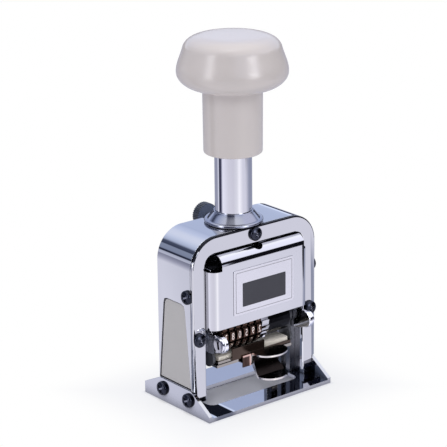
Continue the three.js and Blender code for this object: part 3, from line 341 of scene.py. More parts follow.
def make_floor():
    look, tree, place = new_material("white_table")
    parts = node(tree, "SeparateXYZ", {"Vector": place}).node.outputs
    away = []
    for axis, half in BASE_REACH:
        aside = node(tree, "Math", {0: parts[axis]}, operation="ABSOLUTE")
        away.append(node(tree, "Math", {0: aside, 1: half}, operation="SUBTRACT"))
    reach = node(tree, "Math", {0: away[0], 1: away[1]}, operation="MAXIMUM")
    close = masked(tree, (reach, *CLOSE_EDGE))
    far = masked(tree, (reach, 0.0, FLOOR_FADE))
    far = node(tree, "Math", {0: far, 1: 1 - CLOSE_SHARE}, operation="MULTIPLY")
    fade = node(tree, "Math", {0: close, 1: CLOSE_SHARE, 2: far}, operation="MULTIPLY_ADD")
    paper = node(tree, "BsdfDiffuse", {"Color": PAPER})
    glow = node(tree, "Emission", {"Color": "#ffffff"})
    both = node(tree, "MixShader", {"Fac": fade, 1: paper, 2: glow})
    node(tree, "OutputMaterial", {"Surface": both})
    form = bmesh.new()
    bmesh.ops.create_grid(form, x_segments=1, y_segments=1, size=FLOOR_HALF)
    floor = finished("floor", form, look=look, at=(0, 0, FLOOR_LOW))
    floor.visible_glossy = False


make_floor()
print("table of", 2 * FLOOR_HALF, "mm, white from", FLOOR_FADE / MM, "mm out")

# %% [markdown]
# Lamps. Daylight alone is flat. Spots would give hard shadows that the photograph doesn't have, so
# three large area lamps round off the plastic: a key from the left, a fill from the right and a top
# lamp. They stay out of reflections, because the tent draws those.

# %% Lamps
LAMPS = [
    ("key_lamp", (-500, -420, 620), 260, 1.6),
    ("fill_lamp", (520, -460, 420), 300, 0.9),
    ("top_lamp", (-60, 60, 900), 300, 2.2),
]
LAMP_AIM = (0, 0, 70)


def add_lamps():
    for name, place, size, power in LAMPS:
        data = bpy.data.lights.new(name, "AREA")
        data.size = size * MM
        data.energy = power
        lamp = bpy.data.objects.new(name, data)
        scene.collection.objects.link(lamp)
        lamp.location = Vector(place) * MM
        aim = (Vector(LAMP_AIM) - Vector(place)) * MM
        lamp.rotation_euler = aim.to_track_quat("-Z", "Y").to_euler()
        lamp.visible_glossy = False


add_lamps()
print("lamps:", ", ".join(name for name, *rest in LAMPS))

# %% [markdown]
# Metal. Most of the machine is pressed or cast metal that was polished and plated. One finish could
# serve for all, but real plating differs from piece to piece: how bright it is, how sharp the
# mirror, and how far the sheet ripples under it. A slow cloud of 17 mm changes the tone, wear of
# 1 mm changes the gloss, and a ripple bends the reflections. The ripple's size is in millimetres.
# Wear on real plating is finer than a pixel, so it is drawn coarser than it is.

# %% Metal finishes
CLOUD_SIZE = 16.7
WEAR_SIZE = 1.11
RIPPLE_SIZE = 11.1
RIPPLE_RISE = 0.0004
DRAWN = (1, 1, 0.15)  # a ripple that is long along Z, as on sheet drawn upwards
EVEN = (1, 1, 1)  # a ripple that is the same in every direction
# Painted shade: where ambient occlusion falls in this range, the tone darkens towards this grey
HOLLOW_RANGE = (0.2, 0.85)
HOLLOW_SHADE = "#3a3b44"


def per_metre(size):
    return 1 / (size * MM)


def metal(
    name, bright, dull, rough, ripple, size=RIPPLE_SIZE, stretch=DRAWN,
    edge=0.0, painted_shade_reach=0.0, bend=None,
):
    look, tree, place = new_material(name)
    coarse = {"Vector": place, "Scale": per_metre(CLOUD_SIZE), "Detail": 3.0}
    cloud = node(tree, "TexNoise", coarse)
    tone = node(tree, "Mix", {"Factor": cloud, MIX_A: bright, MIX_B: dull}, **BLEND)
    # Painted shade: ambient occlusion darkens the tone in hollows and close under other parts
    if painted_shade_reach:
        hollow = node(tree, "AmbientOcclusion", {"Distance": painted_shade_reach}, "AO", samples=8)
        clear = masked(tree, (hollow, *HOLLOW_RANGE))
        shade = {"Factor": clear, MIX_A: HOLLOW_SHADE, MIX_B: "#ffffff"}
        both = {"Factor": 1.0, MIX_A: tone, MIX_B: node(tree, "Mix", shade, **BLEND)}
        tone = node(tree, "Mix", both, **BLEND, blend_type="MULTIPLY")
    wear = node(tree, "TexNoise", {"Vector": place, "Scale": per_metre(WEAR_SIZE), "Detail": 4.0})
    gloss = node(tree, "MapRange", {"Value": wear, "To Min": rough[0], "To Max": rough[1]})
    drawn = node(tree, "Mapping", {"Vector": place, "Scale": stretch})
    wave = node(tree, "TexNoise", {"Vector": drawn, "Scale": per_metre(size), "Detail": 1.0})
    under = {}
    if edge:
        under["Normal"] = node(tree, "Bevel", {"Radius": edge}, samples=4)
    if bend:
        start, end, rise = bend
        across = node(tree, "SeparateXYZ", {"Vector": place}, "X")
        dish = {"Height": masked(tree, (across, start, end)), "Strength": 1.0, "Distance": rise}
        under["Normal"] = node(tree, "Bump", dish)
    rippled = {"Height": wave, "Strength": ripple, "Distance": RIPPLE_RISE, **under}
    bump = node(tree, "Bump", rippled)
    shine = {"Base Color": tone, "Metallic": 1.0, "Roughness": gloss, "Normal": bump}
    node(tree, "OutputMaterial", {"Surface": node(tree, "BsdfPrincipled", shine)})
    return look


print("metal: cloud of", CLOUD_SIZE, "mm, wear of", WEAR_SIZE, "mm")

# %% [markdown]
# Bright plating. Chrome over nickel is on most of what shows. Each finish below starts from grey
# #c0c0c3, the tone of chrome, and is then matched to its piece in the photograph. Two numbers give
# the least and the most roughness: a mirror stays under 0.1, and a satin face lies above it.

# %% Bright plating
# Polished chrome on pressed sheet: a mirror that wavers a little down the sheet
CHROME = metal("polished_chrome", "#c4c4c7", "#c0c0c4", (0.045, 0.075), 0.05)
# Chrome on a ground casting: the sharpest mirror, hardly a waver
CASTING = metal("plated_casting", "#c0c0c3", "#bbbbbe", (0.025, 0.045), 0.035)
# Chrome on the base sheet, dished at the left by its pressing, with painted shade in its hollows
# and where other parts stand close over it
PLATE = metal(
    "mirror_plate", "#b4b5ba", "#acadb4", (0.03, 0.06), 0.05, 14.3, EVEN, painted_shade_reach=0.009,
    bend=(-0.018, -0.0305, 0.0032),
)
# Chrome on drawn tube: long clean streaks
TUBE = metal("chrome_tube", "#c6c6ca", "#c0c0c5", (0.05, 0.08), 0.03)
# Turned and plated ring: fine turning marks blur the mirror and darken it
COLLAR = metal("plated_collar", "#999ba6", "#8c8e9a", (0.13, 0.18), 0.03)
# Thin bright plate behind the bezel, which catches the ceiling
CHEEK = metal("bright_cheek", "#f2f2f6", "#e6e6ec", (0.1, 0.18), 0.04)
# Faced screw head: bright with a soft blur
STOP_STEEL = metal("turned_stop_screw", "#e9e9ee", "#d2d2d8", (0.14, 0.24), 0.08, 0.71, EVEN)
# Anodised aluminium label: an even silver sheen
LABEL = metal("silver_label", "#d4d3d6", "#cfced2", (0.14, 0.2), 0.02, 3.3, EVEN)
# Nickel on the tray, and a painted highlight on the cut rims of the tab and the lever: warmer and
# softer than chrome
TRAY = metal("nickel_tray", "#a5a09b", "#7f7973", (0.08, 0.16), 0.06, 5, EVEN)
RIM_HIGHLIGHT = metal("painted_rim_highlight", "#d8d3d0", "#c6c1be", (0.12, 0.2), 0.04, 3.8, EVEN)
print("bright plating: 10 finishes")

# %% [markdown]
# Plain steel, brass and dark metal. The parts inside are turned or milled and not polished, so
# their mirror is broken up. Their edges could be rounded as on the outer pieces. The Bevel node
# rounds them in the light only, which is cheaper on parts that are seen through gaps.

# %% Steel, brass and dark metal
# Satin nickel on the rear plates: a calm grey
SATIN = metal("satin_nickel", "#a4a3a7", "#929196", (0.12, 0.22), 0.06, edge=0.00015)
# Turned steel: grey, with turning marks of 0.7 mm that are drawn coarser than real ones
STEEL = metal(
    "turned_steel", "#96979b", "#77787c", (0.22, 0.36), 0.12, 0.71, (1, 1, 0.1), edge=0.0001
)
# Turned brass: warm and slightly blurred
BRASS = metal("turned_brass", "#cdb27a", "#a98c58", (0.15, 0.3), 0.08, 2, EVEN, edge=0.0001)
# Blackened steel: near black, with a dull shine
BLACK_STEEL = metal(
    "blackened_steel", "#1d1d21", "#121214", (0.16, 0.28), 0.1, 1.43, EVEN, edge=0.0001
)
# Black oxide on the screws: blue-black with small highlights
SCREW_BLACK = metal("black_oxide", "#3a3c47", "#20222a", (0.16, 0.26), 0.1, 2, EVEN)
# The same oxide, lighter in the floor of the cross: partly wear from the driver, partly a painted
# glint
SCREW_WORN_GLINT = metal("worn_glint_recess", "#a2a4ae", "#7c7e88", (0.2, 0.3), 0.1, 2, EVEN)
# Black nickel on the release lever, and dark nickel on the pad's tab: they mirror in brown
LEVER_DARK = metal("black_nickel", "#2a2422", "#151211", (0.14, 0.24), 0.08, 3.8, EVEN)
DARK_TAB = metal("dark_nickel", "#574a42", "#332b27", (0.14, 0.24), 0.08, 3.8, EVEN)
# Painted dark: dirt and painted shade in the bezel's seam, painted shade in the stop screws' slots,
# and a painted dark reflection along the bezel's rim: almost no shine
PAINTED_DARK = metal("painted_dark", "#26262c", "#18181c", (0.3, 0.4), 0.05)
print("plain and dark metal: 9 finishes")

# %% [markdown]
# Plastic. The handle is moulded in a warm white. A plain diffuse white would look like chalk, and
# a painted one like metal, so a little light passes under its skin and a clear gloss lies over it.
# The grain of the mould is 0.4 to 0.7 mm here, coarser than real, because a finer one would vanish
# between pixels.

# %% Plastic finishes
TINT_SIZE = 12.5
GLOSS_SIZE = 3.33
SKIN_RISE = 0.00003
SKIN_DEPTH = (0.004, 0.0035, 0.003)


def plastic(name, light, dark, rough, grain, size=0.67, gloss=0.5, glow=0.0):
    look, tree, place = new_material(name)
    coarse = {"Vector": place, "Scale": per_metre(TINT_SIZE), "Detail": 3.0}
    cloud = node(tree, "TexNoise", coarse)
    tone = node(tree, "Mix", {"Factor": cloud, MIX_A: light, MIX_B: dark}, **BLEND)
    wear = node(tree, "TexNoise", {"Vector": place, "Scale": per_metre(GLOSS_SIZE), "Detail": 5.0})
    blur = node(tree, "MapRange", {"Value": wear, "To Min": rough[0], "To Max": rough[1]})
    skin = node(tree, "TexNoise", {"Vector": place, "Scale": per_metre(size), "Detail": 2.0})
    bump = node(tree, "Bump", {"Height": skin, "Strength": grain, "Distance": SKIN_RISE})
    shine = {"Base Color": tone, "Roughness": blur, "Specular IOR Level": gloss, "Normal": bump}
    if glow:
        shine |= {"Subsurface Weight": glow, "Subsurface Radius": SKIN_DEPTH}
        shine |= {"Subsurface Scale": 1.0}
    node(tree, "OutputMaterial", {"Surface": node(tree, "BsdfPrincipled", shine)})
    return look


# Moulded ABS of the handle: warm white, glossy, with a soft depth
HANDLE = plastic("warm_white_plastic", "#cfc8c9", "#cac3c4", (0.2, 0.26), 0.03, glow=0.06)
# Textured ABS of the side panels: grey and dull
PANEL = plastic("grey_panel_plastic", "#bcbabd", "#b5b3b6", (0.42, 0.5), 0.25, 0.38, gloss=0.35)
# Painted arms of the pad: dark grey that never gets black
ARM_BLACK = plastic("grey_black_arm", "#55565d", "#3a3b41", (0.25, 0.35), 0.1, 0.56)
# Moulded lock knob: blue-black on its ribs, with a painted reflection of the sky on its flat faces
KNOB_BLACK = plastic("blue_black_plastic", "#343a46", "#242831", (0.25, 0.35), 0.08)
KNOB_SKY_REFLECTION = plastic("painted_sky_face", "#6d7890", "#515c72", (0.2, 0.3), 0.08)
# Ink of the label's thin rule and of its dark field: flat and even
LABEL_RULE = plastic("label_line", "#8d8c94", "#7f7e87", (0.3, 0.4), 0.02, 1.1, gloss=0.4)
LABEL_DARK = plastic("dark_label_field", "#3a3a42", "#303038", (0.3, 0.4), 0.02, 1.1, gloss=0.4)
print("plastic: 7 finishes")

# %% [markdown]
# Felt: a mat of fibres that scatters light and never shines. Hairs could be grown on it, but at
# this size they would be lost, so a fine noise makes the fibres and a sheen their soft bloom. Real
# fibres are 0.02 mm thick, too fine to show, and are drawn ten times as coarse.

# %% Felt cloth
FIBRE_SIZE = 0.19
FIBRE_RISE = 0.0001


def felt(name, light, dark):
    look, tree, place = new_material(name)
    mat = {"Vector": place, "Scale": per_metre(FIBRE_SIZE), "Detail": 6.0, "Roughness": 0.7}
    fibres = node(tree, "TexNoise", mat)
    tone = node(tree, "Mix", {"Factor": fibres, MIX_A: light, MIX_B: dark}, **BLEND)
    bump = node(tree, "Bump", {"Height": fibres, "Strength": 0.8, "Distance": FIBRE_RISE})
    cloth = {"Base Color": tone, "Roughness": 1.0, "Normal": bump}
    cloth |= {"Sheen Weight": 0.5, "Sheen Roughness": 0.5}
    node(tree, "OutputMaterial", {"Surface": node(tree, "BsdfPrincipled", cloth)})
    return look


# Cream felt: soft and without any shine
FELT = felt("cream_felt", "#fffaf2", "#f3eadf")
print("felt with fibres of", FIBRE_SIZE, "mm")

# %% [markdown]
# Inked and shaded brass. The wheels are brass, stained with ink in their hollows and rubbed
# bright by the paper on their crests. That could be painted by hand, but ambient occlusion tells
# crest from hollow by itself, and noise breaks up the line between them. The occlusion also
# darkens the wheels where they hang close over the pad, which is painted shade.

# %% Inked and shaded brass
STAIN_SIZE = 1.11
INK_AND_SHADE_REACH = 0.0025
# Where ink and painted shade give way to rubbed brass: how much open air and the stain count,
# and between which limits
OPEN_SHARE = 1.25
STAIN_SHARE = -0.5
RUBBED = (0.38, 0.72)
DENT_SIZE = 0.63
DENT_RISE = 0.00005
WHEEL_EDGE = 0.0001


def inked_brass(name, ink_and_shade, polished):
    look, tree, place = new_material(name)
    spots = {"Vector": place, "Scale": per_metre(STAIN_SIZE), "Detail": 5.0, "Roughness": 0.65}
    stain = node(tree, "TexNoise", spots)
    # The occlusion darkens hollows as ink, and the wheels' undersides over the pad as painted shade
    hollow = node(tree, "AmbientOcclusion", {"Distance": INK_AND_SHADE_REACH}, "AO", samples=8)
    open_air = node(tree, "Math", {0: hollow, 1: OPEN_SHARE}, operation="MULTIPLY")
    crest = {0: stain, 1: STAIN_SHARE, 2: open_air}
    crest = node(tree, "Math", crest, operation="MULTIPLY_ADD")
    rubbed = {"Factor": masked(tree, (crest, *RUBBED)), MIX_A: ink_and_shade, MIX_B: polished}
    tone = node(tree, "Mix", rubbed, **BLEND)
    blur = node(tree, "MapRange", {"Value": stain, "To Min": 0.18, "To Max": 0.45})
    dents = node(tree, "TexNoise", {"Vector": place, "Scale": per_metre(DENT_SIZE), "Detail": 2.0})
    soft = node(tree, "Bevel", {"Radius": WHEEL_EDGE}, samples=4)
    worn = {"Height": dents, "Strength": 0.2, "Distance": DENT_RISE, "Normal": soft}
    bump = node(tree, "Bump", worn)
    shine = {"Base Color": tone, "Metallic": 1.0, "Roughness": blur, "Normal": bump}
    node(tree, "OutputMaterial", {"Surface": node(tree, "BsdfPrincipled", shine)})
    return look


# Brass of the wheels: nearly black with ink and painted shade, brown where it is rubbed
RING_BRASS = inked_brass("inked_brass", "#100c0b", "#5a453c")
# Brass of the figures: rubbed bright by the paper, brown at their feet with ink and painted shade
FIGURES = inked_brass("figured_brass", "#5a453c", "#fff0e2")
print("brass with stains of", STAIN_SIZE, "mm and dents of", DENT_SIZE, "mm")

# %% [markdown]
# Bronze leaf: the thin spring strip beside the pad. It is drawn dark brown as metal in painted
# shade, with a painted highlight along its right edge and its top, where it bends. The bright line
# could be a piece of its own, but two soft limits on the strip's own place draw it, with a few
# faint streaks along the leaf.

# %% Bronze leaf
STREAK_SIZE = 2
STREAK_SHARE = 0.15
# Past these limits on X and Z the leaf gets its painted highlight
LEAF_EDGE = (-0.0042, -0.0038)
LEAF_TOP = (0.0186, 0.0192)


def bronze_leaf(name, shaded_brown, bright):
    look, tree, place = new_material(name)
    parts = node(tree, "SeparateXYZ", {"Vector": place}).node.outputs
    side = masked(tree, (parts["X"], *LEAF_EDGE))
    high = masked(tree, (parts["Z"], *LEAF_TOP))
    drawn = node(tree, "Mapping", {"Vector": place, "Scale": (1, 1, 0.2)})
    lines = {"Vector": drawn, "Scale": per_metre(STREAK_SIZE), "Detail": 2.0}
    streak = node(tree, "TexNoise", lines)
    streak = node(tree, "Math", {0: streak, 1: STREAK_SHARE}, operation="MULTIPLY")
    highlight_and_streaks = node(tree, "Math", {0: side, 1: high}, operation="MAXIMUM")
    highlight_and_streaks = node(tree, "Math", {0: streak, 1: highlight_and_streaks}, operation="MAXIMUM")
    tone = node(tree, "Mix", {"Factor": highlight_and_streaks, MIX_A: shaded_brown, MIX_B: bright}, **BLEND)
    shine = {"Base Color": tone, "Metallic": 1.0, "Roughness": 0.24}
    node(tree, "OutputMaterial", {"Surface": node(tree, "BsdfPrincipled", shine)})
    return look


# Phosphor bronze: dark brown as painted shade, with a painted highlight where it bends
BRONZE = bronze_leaf("bronze_leaf", "#2a1d19", "#d6b4a8")
print("bronze with streaks of", STREAK_SIZE, "mm")

# %% [markdown]
# Pieces that are taken as they are. Rails, nuts, the shaft and the plates at the rear are plain
# shapes, deep inside or behind. They could be modelled again, but nothing would be gained, so the
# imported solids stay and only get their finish.

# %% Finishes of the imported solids
NODE_LOOKS = {
    STEEL: "guide_rail_left guide_rail_right tube_nut press_rod crosshead rod_nut shaft_nut_left "
    "shaft_nut_right wheel_shaft selector_pivot detent_comb feed_yoke release_pin lock_pin",
    BRASS: "rod_bush spring_cup feed_pawl",
    SATIN: "back_plate selector_dial",
    BLACK_STEEL: "selector_lever spacer_bush",
    CHROME: "drive_ratchet",
    TRAY: "pad_holder",
    ARM_BLACK: "pad_arm_left pad_arm_right",
    BRONZE: "release_spring",
}


def dress_solids():
    dressed = 0
    for look, names in NODE_LOOKS.items():
        for name in names.split():
            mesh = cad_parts[name].data
            for i in range(len(mesh.materials)):
                mesh.materials[i] = look
            dressed += 1
    return dressed


print("packed solids dressed:", dress_solids())

# %% [markdown]
# Outlines and slabs. Most pieces of the machine are sheet or plate: one outline with a thickness.
# They could be cut from cubes, but an outline of points follows the drawing. One face is made of
# it and extruded, which gives the far side and the walls. A box is the plainest of such slabs.

# %% Outlines and slabs
# How an outline's two directions and its depth become X, Y and Z
FLAT = lambda u, v, w: (u, v, w)
FACING = lambda u, v, w: (u, w, v)
ACROSS = lambda u, v, w: (w, u, v)


def arc(centre, radius, start, end, steps=12):
    points = []
    for i in range(steps + 1):
        angle = math.radians(start + (end - start) * i / steps)
        points.append((centre[0] + radius * math.cos(angle), centre[1] + radius * math.sin(angle)))
    return points


def rounded(u0, u1, v0, v1, corner):
    return [
        *arc((u1 - corner, v0 + corner), corner, -90, 0),
        *arc((u1 - corner, v1 - corner), corner, 0, 90),
        *arc((u0 + corner, v1 - corner), corner, 90, 180),
        *arc((u0 + corner, v0 + corner), corner, 180, 270),
    ]


def slab_form(points, low, high, plane):
    form = bmesh.new()
    near = form.faces.new([form.verts.new(plane(u, v, low)) for u, v in points])
    far = bmesh.ops.extrude_face_region(form, geom=[near])["geom"]
    moved = [part for part in far if isinstance(part, bmesh.types.BMVert)]
    bmesh.ops.translate(form, vec=Vector(plane(0, 0, high - low)), verts=moved)
    return form


def box_form(x0, x1, y0, y1, z0, z1):
    return slab_form([(x0, z0), (x1, z0), (x1, z1), (x0, z1)], y0, y1, FACING)


def shifted(form, place):
    bmesh.ops.translate(form, vec=Vector(place), verts=form.verts)
    return form


print("a quarter arc has", len(arc((0, 0), 1, 0, 90)), "points")

# %% [markdown]
# Cutting, joining and rounding. Holes and slots are cut with Boolean modifiers, in the way that a
# drill and a file cut the real ones. They could be modelled face by face, but then each cut has to
# be planned round the others. Real edges are never sharp, and a Bevel modifier breaks each of them,
# because it is the broken edge that catches the light. A cutter reaches past its piece, and how
# far it does makes no difference.

# %% Cutting, joining and rounding
EDGE_ANGLE = 30  # in degrees: a corner that is flatter than this isn't an edge


def baked(piece):
    graph = bpy.context.evaluated_depsgraph_get()
    graph.update()
    shape = bpy.data.meshes.new_from_object(piece.evaluated_get(graph))
    piece.modifiers.clear()
    piece.data = shape
    return piece


def worked(piece, operation, forms):
    tools = []
    for form in forms:
        whole = isinstance(form, bpy.types.Object)
        tools.append(form if whole else finished("tool", form))
    for tool in tools:
        change = piece.modifiers.new(operation.lower(), "BOOLEAN")
        change.operation = operation
        change.solver = "EXACT"
        change.object = tool
    baked(piece)
    for tool in tools:
        bpy.data.objects.remove(tool)
    return piece


def carved(piece, *forms):
    return worked(piece, "DIFFERENCE", forms)


def joined(piece, form):
    return worked(piece, "UNION", [form])


def softened(piece, width, steps=3, angle=EDGE_ANGLE):
    change = piece.modifiers.new("edges", "BEVEL")
    change.affect = "EDGES"
    change.width = width * MM
    change.segments = steps
    change.profile = 0.5
    change.material = -1
    change.limit_method = "ANGLE"
    change.angle_limit = math.radians(angle)
    change.harden_normals = True
    change.miter_outer = "MITER_ARC"
    return piece


print("corners of more than", EDGE_ANGLE, "degrees are rounded")

# %% [markdown]
# Base plate: a pressed sheet with a window under the wheels and a flange up each side, to which the
# frame is screwed. A press folds the real one from one blank. Here the flanges are slabs joined to
# the sheet, because the fold is a sharp one and hidden behind the frame.

# %% Base plate
BASE_HALF = 32.5
BASE_DEEP = 21.35
SHEET = 1.6
FLANGE_TOP = 9.9
BASE_EDGE = 0.35
WINDOW = (-23.5, 23.5, -11.3, 6.3, 3)
FLANGE_REAR = [(BASE_DEEP, 0), (BASE_DEEP, 4.9), (11, FLANGE_TOP)]
FLANGE = [(-BASE_DEEP, 0), *FLANGE_REAR, (-9.5, FLANGE_TOP), (-BASE_DEEP, 2.4)]


def make_base():
    side = BASE_HALF - SHEET
    sheet = box_form(-BASE_HALF, BASE_HALF, -BASE_DEEP, BASE_DEEP, 0, SHEET)
    base = finished("base_pressing", sheet, "frame", PLATE)
    joined(base, slab_form(FLANGE, -BASE_HALF, -side, ACROSS))
    joined(base, slab_form(FLANGE, side, BASE_HALF, ACROSS))
    carved(base, slab_form(rounded(*WINDOW), -2, SHEET + 2, FLAT))
    softened(base, BASE_EDGE)
    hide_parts("base_plate")
    return base


print("base plate:", len(make_base().data.polygons), "faces before its edges are rounded")

# %% [markdown]
# The frame's outlines. Seen from the front, the frame and its hollow are arches with round upper
# corners, and seen from the side, each panel is a trapezoid with clipped ones. Both could be traced
# point by point. They are worked out from a few sizes instead, so that the panel and the field it
# sits in keep the same shape and only differ by a gap.

# %% Frame outlines
FRAME_HALF = 32.25
FRAME_TOP = 73.4
FRAME_CORNER = 12.4
FRAME_BACK = 11.4
FACE = -11.4
SEAM = -10.0
WALL = 4.5
ROOF = 5
PRESS_X = -1.7
LOCK_Z = 71.4
FLANGE_GAP = 0.1
# The panel's middle, its heights, half its width below and above, and its clipped corner
PANEL_MIDDLE = 0.9
PANEL_HEIGHTS = (10.5, 45.5)
PANEL_FOOT = 10
PANEL_HEAD = 6.6
PANEL_CORNER = 2.4
PANEL_ROOM = 0.35


def arch(half, low, high, corner):
    right = arc((half - corner, high - corner), corner, 0, 90, 24)
    left = arc((corner - half, high - corner), corner, 90, 180, 24)
    return [(-half, low), (half, low), *right, *left]


def panel_outline(grow):
    low, high = PANEL_HEIGHTS[0] - grow, PANEL_HEIGHTS[1] + grow
    edge, corner = PANEL_MIDDLE + PANEL_HEAD + grow, PANEL_CORNER
    nick = corner / 4
    right = [(PANEL_MIDDLE + PANEL_FOOT + grow, low), (edge, high - corner)]
    right += [(edge - nick, high - nick), (edge - corner, high)]
    return [*right, *[(2 * PANEL_MIDDLE - y, z) for y, z in reversed(right)]]


def flange_room():
    inner, top = BASE_HALF - SHEET - FLANGE_GAP, FLANGE_TOP + FLANGE_GAP
    return [box_form(-40, -inner, -30, 30, -1, top), box_form(inner, 40, -30, 30, -1, top)]


print("a panel's outline has", len(panel_outline(0)), "corners")

# %% [markdown]
# Frame: a cast and plated U, upside down, that holds the tube in its roof. It could be bent from a
# strip, but the real one is a casting with an even wall, so an arch-shaped slab is hollowed from
# the front, with a window at the rear, room for the base's flanges, holes for the tube and the
# lock pin, and a sunk field in each side for a panel.

# %% Frame casting
FRAME_EDGE = 0.4
REAR_WINDOW = (23.6, -1, 64, 4.5)
TUBE_HOLE = 7.7
PIN_HOLE = 1.45
FIELD_DEEP = 1.6


# What stands upright is turned to point in another direction
def turned_to(form, direction):
    turn = Vector((0, 0, 1)).rotation_difference(Vector(direction)).to_matrix()
    bmesh.ops.transform(form, matrix=turn.to_4x4(), verts=form.verts)
    return form


def rod_form(direction, radius, low, high, sides=32):
    circle = arc((0, 0), radius, 0, 360 - 360 / sides, sides - 1)
    return turned_to(slab_form(circle, low, high, FLAT), direction)


def make_frame():
    outside = arch(FRAME_HALF, SHEET + 0.1, FRAME_TOP, FRAME_CORNER)
    inside = arch(FRAME_HALF - WALL, -1, FRAME_TOP - ROOF, 3)
    shell = slab_form(outside, SEAM + 0.2, FRAME_BACK, FACING)
    body = finished("frame_casting", shell, "frame", CASTING)
    hollow = slab_form(inside, SEAM - 1, FRAME_BACK - 2, FACING)
    window = slab_form(arch(*REAR_WINDOW), FRAME_BACK - 3, FRAME_BACK + 1, FACING)
    fields = []
    for side in (-1, 1):
        low, high = sorted((side * (FRAME_HALF - FIELD_DEEP), side * (FRAME_HALF + 1)))
        fields.append(slab_form(panel_outline(PANEL_ROOM), low, high, ACROSS))
    tube_hole = shifted(rod_form((0, 0, 1), TUBE_HOLE, 60, 80, 64), (PRESS_X, 0, 0))
    pin_hole = shifted(rod_form((0, 1, 0), PIN_HOLE, 0, 20), (PRESS_X, 0, LOCK_Z))
    carved(body, hollow, window, *flange_room(), *fields, tube_hole, pin_hole)
    softened(body, FRAME_EDGE, 4)
    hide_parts("frame_body")


make_frame()
print("frame:", 2 * FRAME_HALF, "mm wide,", FRAME_TOP, "mm high")

# %% [markdown]
# The dark line of the bezel. In front of the frame sits a plate, and a thin dark line runs along
# its front rim and along its edge over the roof. On the rim it is a painted dark reflection, and
# over the roof and on the window's upper edge it is dirt and painted shade in the seam. A separate
# strip could be laid there, but a strip so thin would flicker. `painted` gives the chosen faces of
# a piece another finish, and a face is chosen by the way it looks and by its place.

# %% Dark line of the bezel
BEZEL_TOP = 66.2
# The painted dark reflection lies within 1.3 mm of the outline, where the rim leans 3.6 to 18
# degrees
LINE_WIDTH = 1.3
LINE_LEAN = (-0.998, -0.95)
LINE_LOW = 62
SEAM_LOW = 61


def painted(piece, look, chosen):
    piece.data.materials.append(look)
    count = 0
    for face in piece.data.polygons:
        if chosen(face.normal, face.center / MM):
            face.material_index = len(piece.data.materials) - 1
            count += 1
    return count


def seam_side(n, c):
    return abs(n.y) < 0.1 and c.z > BEZEL_TOP + 0.3 or abs(n.z) > 0.3 and c.z > SEAM_LOW


def rim_line(n, c):
    aside = max(abs(c.x) - FRAME_HALF + FRAME_CORNER, 0)
    beyond = math.hypot(aside, c.z - FRAME_TOP + FRAME_CORNER)
    near = c.z > LINE_LOW and beyond > FRAME_CORNER - LINE_WIDTH
    return near and LINE_LEAN[0] < n.y < LINE_LEAN[1]


print("the dark line is within", LINE_WIDTH, "mm of the rim")

# %% [markdown]
# Bezel: the ground plate in front of the frame, with two legs. On the real machine it is screwed
# on, so it is a slab of its own with a seam behind it, and its front rim is rounded. A Bevel
# modifier could round the rim, but the cut for the flanges leaves tiny edges that hold it back, so
# the edges are bevelled before the cut. A small smoothing angle keeps the front face flat, or the
# mirror would bend over all of it.

# %% Bezel
BEZEL_INNER = 25.7
BEZEL_CORNER = 4.5
BEZEL_FOOT = 4.6
BEZEL_RIM = 0.6
BEZEL_SMOOTH = 8


def bezel_outline():
    inner, top, corner, foot = BEZEL_INNER, BEZEL_TOP, BEZEL_CORNER, BEZEL_FOOT
    return [
        *arc((FRAME_HALF - 2, foot + 2), 2, -90, 0),
        *arc((FRAME_HALF - FRAME_CORNER, FRAME_TOP - FRAME_CORNER), FRAME_CORNER, 0, 90, 24),
        *arc((FRAME_CORNER - FRAME_HALF, FRAME_TOP - FRAME_CORNER), FRAME_CORNER, 90, 180, 24),
        *arc((2 - FRAME_HALF, foot + 2), 2, 180, 270),
        (-inner, foot),
        *arc((corner - inner, top - corner), corner, 180, 90),
        *arc((inner - corner, top - corner), corner, 90, 0),
        (inner, foot),
    ]


def rolled(form, edges, reach, steps):
    bmesh.ops.bevel(
        form, geom=edges, offset=reach, affect="EDGES", segments=steps, profile=0.5, material=-1
    )


def make_bezel():
    form = slab_form(bezel_outline(), FACE, SEAM - 0.1, FACING)
    front = [edge for edge in form.edges if all(abs(v.co.y - FACE) < SAME for v in edge.verts)]
    rolled(form, front, BEZEL_RIM, 5)
    bezel = finished("bezel", form, "frame", CASTING, smooth=BEZEL_SMOOTH)
    # Dirt and painted shade on the faces along the seam
    dark = painted(bezel, PAINTED_DARK, seam_side)
    # A painted dark reflection along the front rim
    dark += painted(bezel, PAINTED_DARK, rim_line)
    carved(bezel, *flange_room())
    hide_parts("front_plate")
    return dark


print("bezel:", make_bezel(), "faces of its edge are dark")

# %% [markdown]
# Side panels: trapezoids of moulded plastic, let into the casting. The dark line round the real
# ones could be painted on the frame. Here each is a slab a little smaller than its sunk field, and
# the gap draws that line by itself, from every side.

# %% Side panels
PANEL_BACK = 1.5
PANEL_SUNK = 0.3
PANEL_EDGE = 0.35


def make_panels():
    for word, side in (("left", -1), ("right", 1)):
        low, high = sorted(side * (FRAME_HALF - deep) for deep in (PANEL_BACK, PANEL_SUNK))
        field = slab_form(panel_outline(0), low, high, ACROSS)
        panel = finished(f"panel_{word}", field, "frame", PANEL)
        softened(panel, PANEL_EDGE)
        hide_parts(f"side_panel_{word}")


make_panels()
print("panels: gap", PANEL_ROOM, "mm all round")

# %% [markdown]
# Turned shapes. Screws, stops, the tube and the handle were all turned or moulded round. A pan head
# could be a flattened ball, but half of its profile, spun once round the axis, is a truer copy. A
# full spin merges its seam.

# %% Turned shapes
HEAD = 2.9
HEAD_HIGH = 1.9


def lathe_form(profile, sides):
    form = bmesh.new()
    points = [form.verts.new((radius, 0, height)) for radius, height in profile]
    line = points + [form.edges.new(pair) for pair in zip(points, points[1:])]
    bmesh.ops.spin(
        form, geom=line, axis=(0, 0, 1), angle=2 * math.pi, steps=sides, use_merge=True
    )
    return form


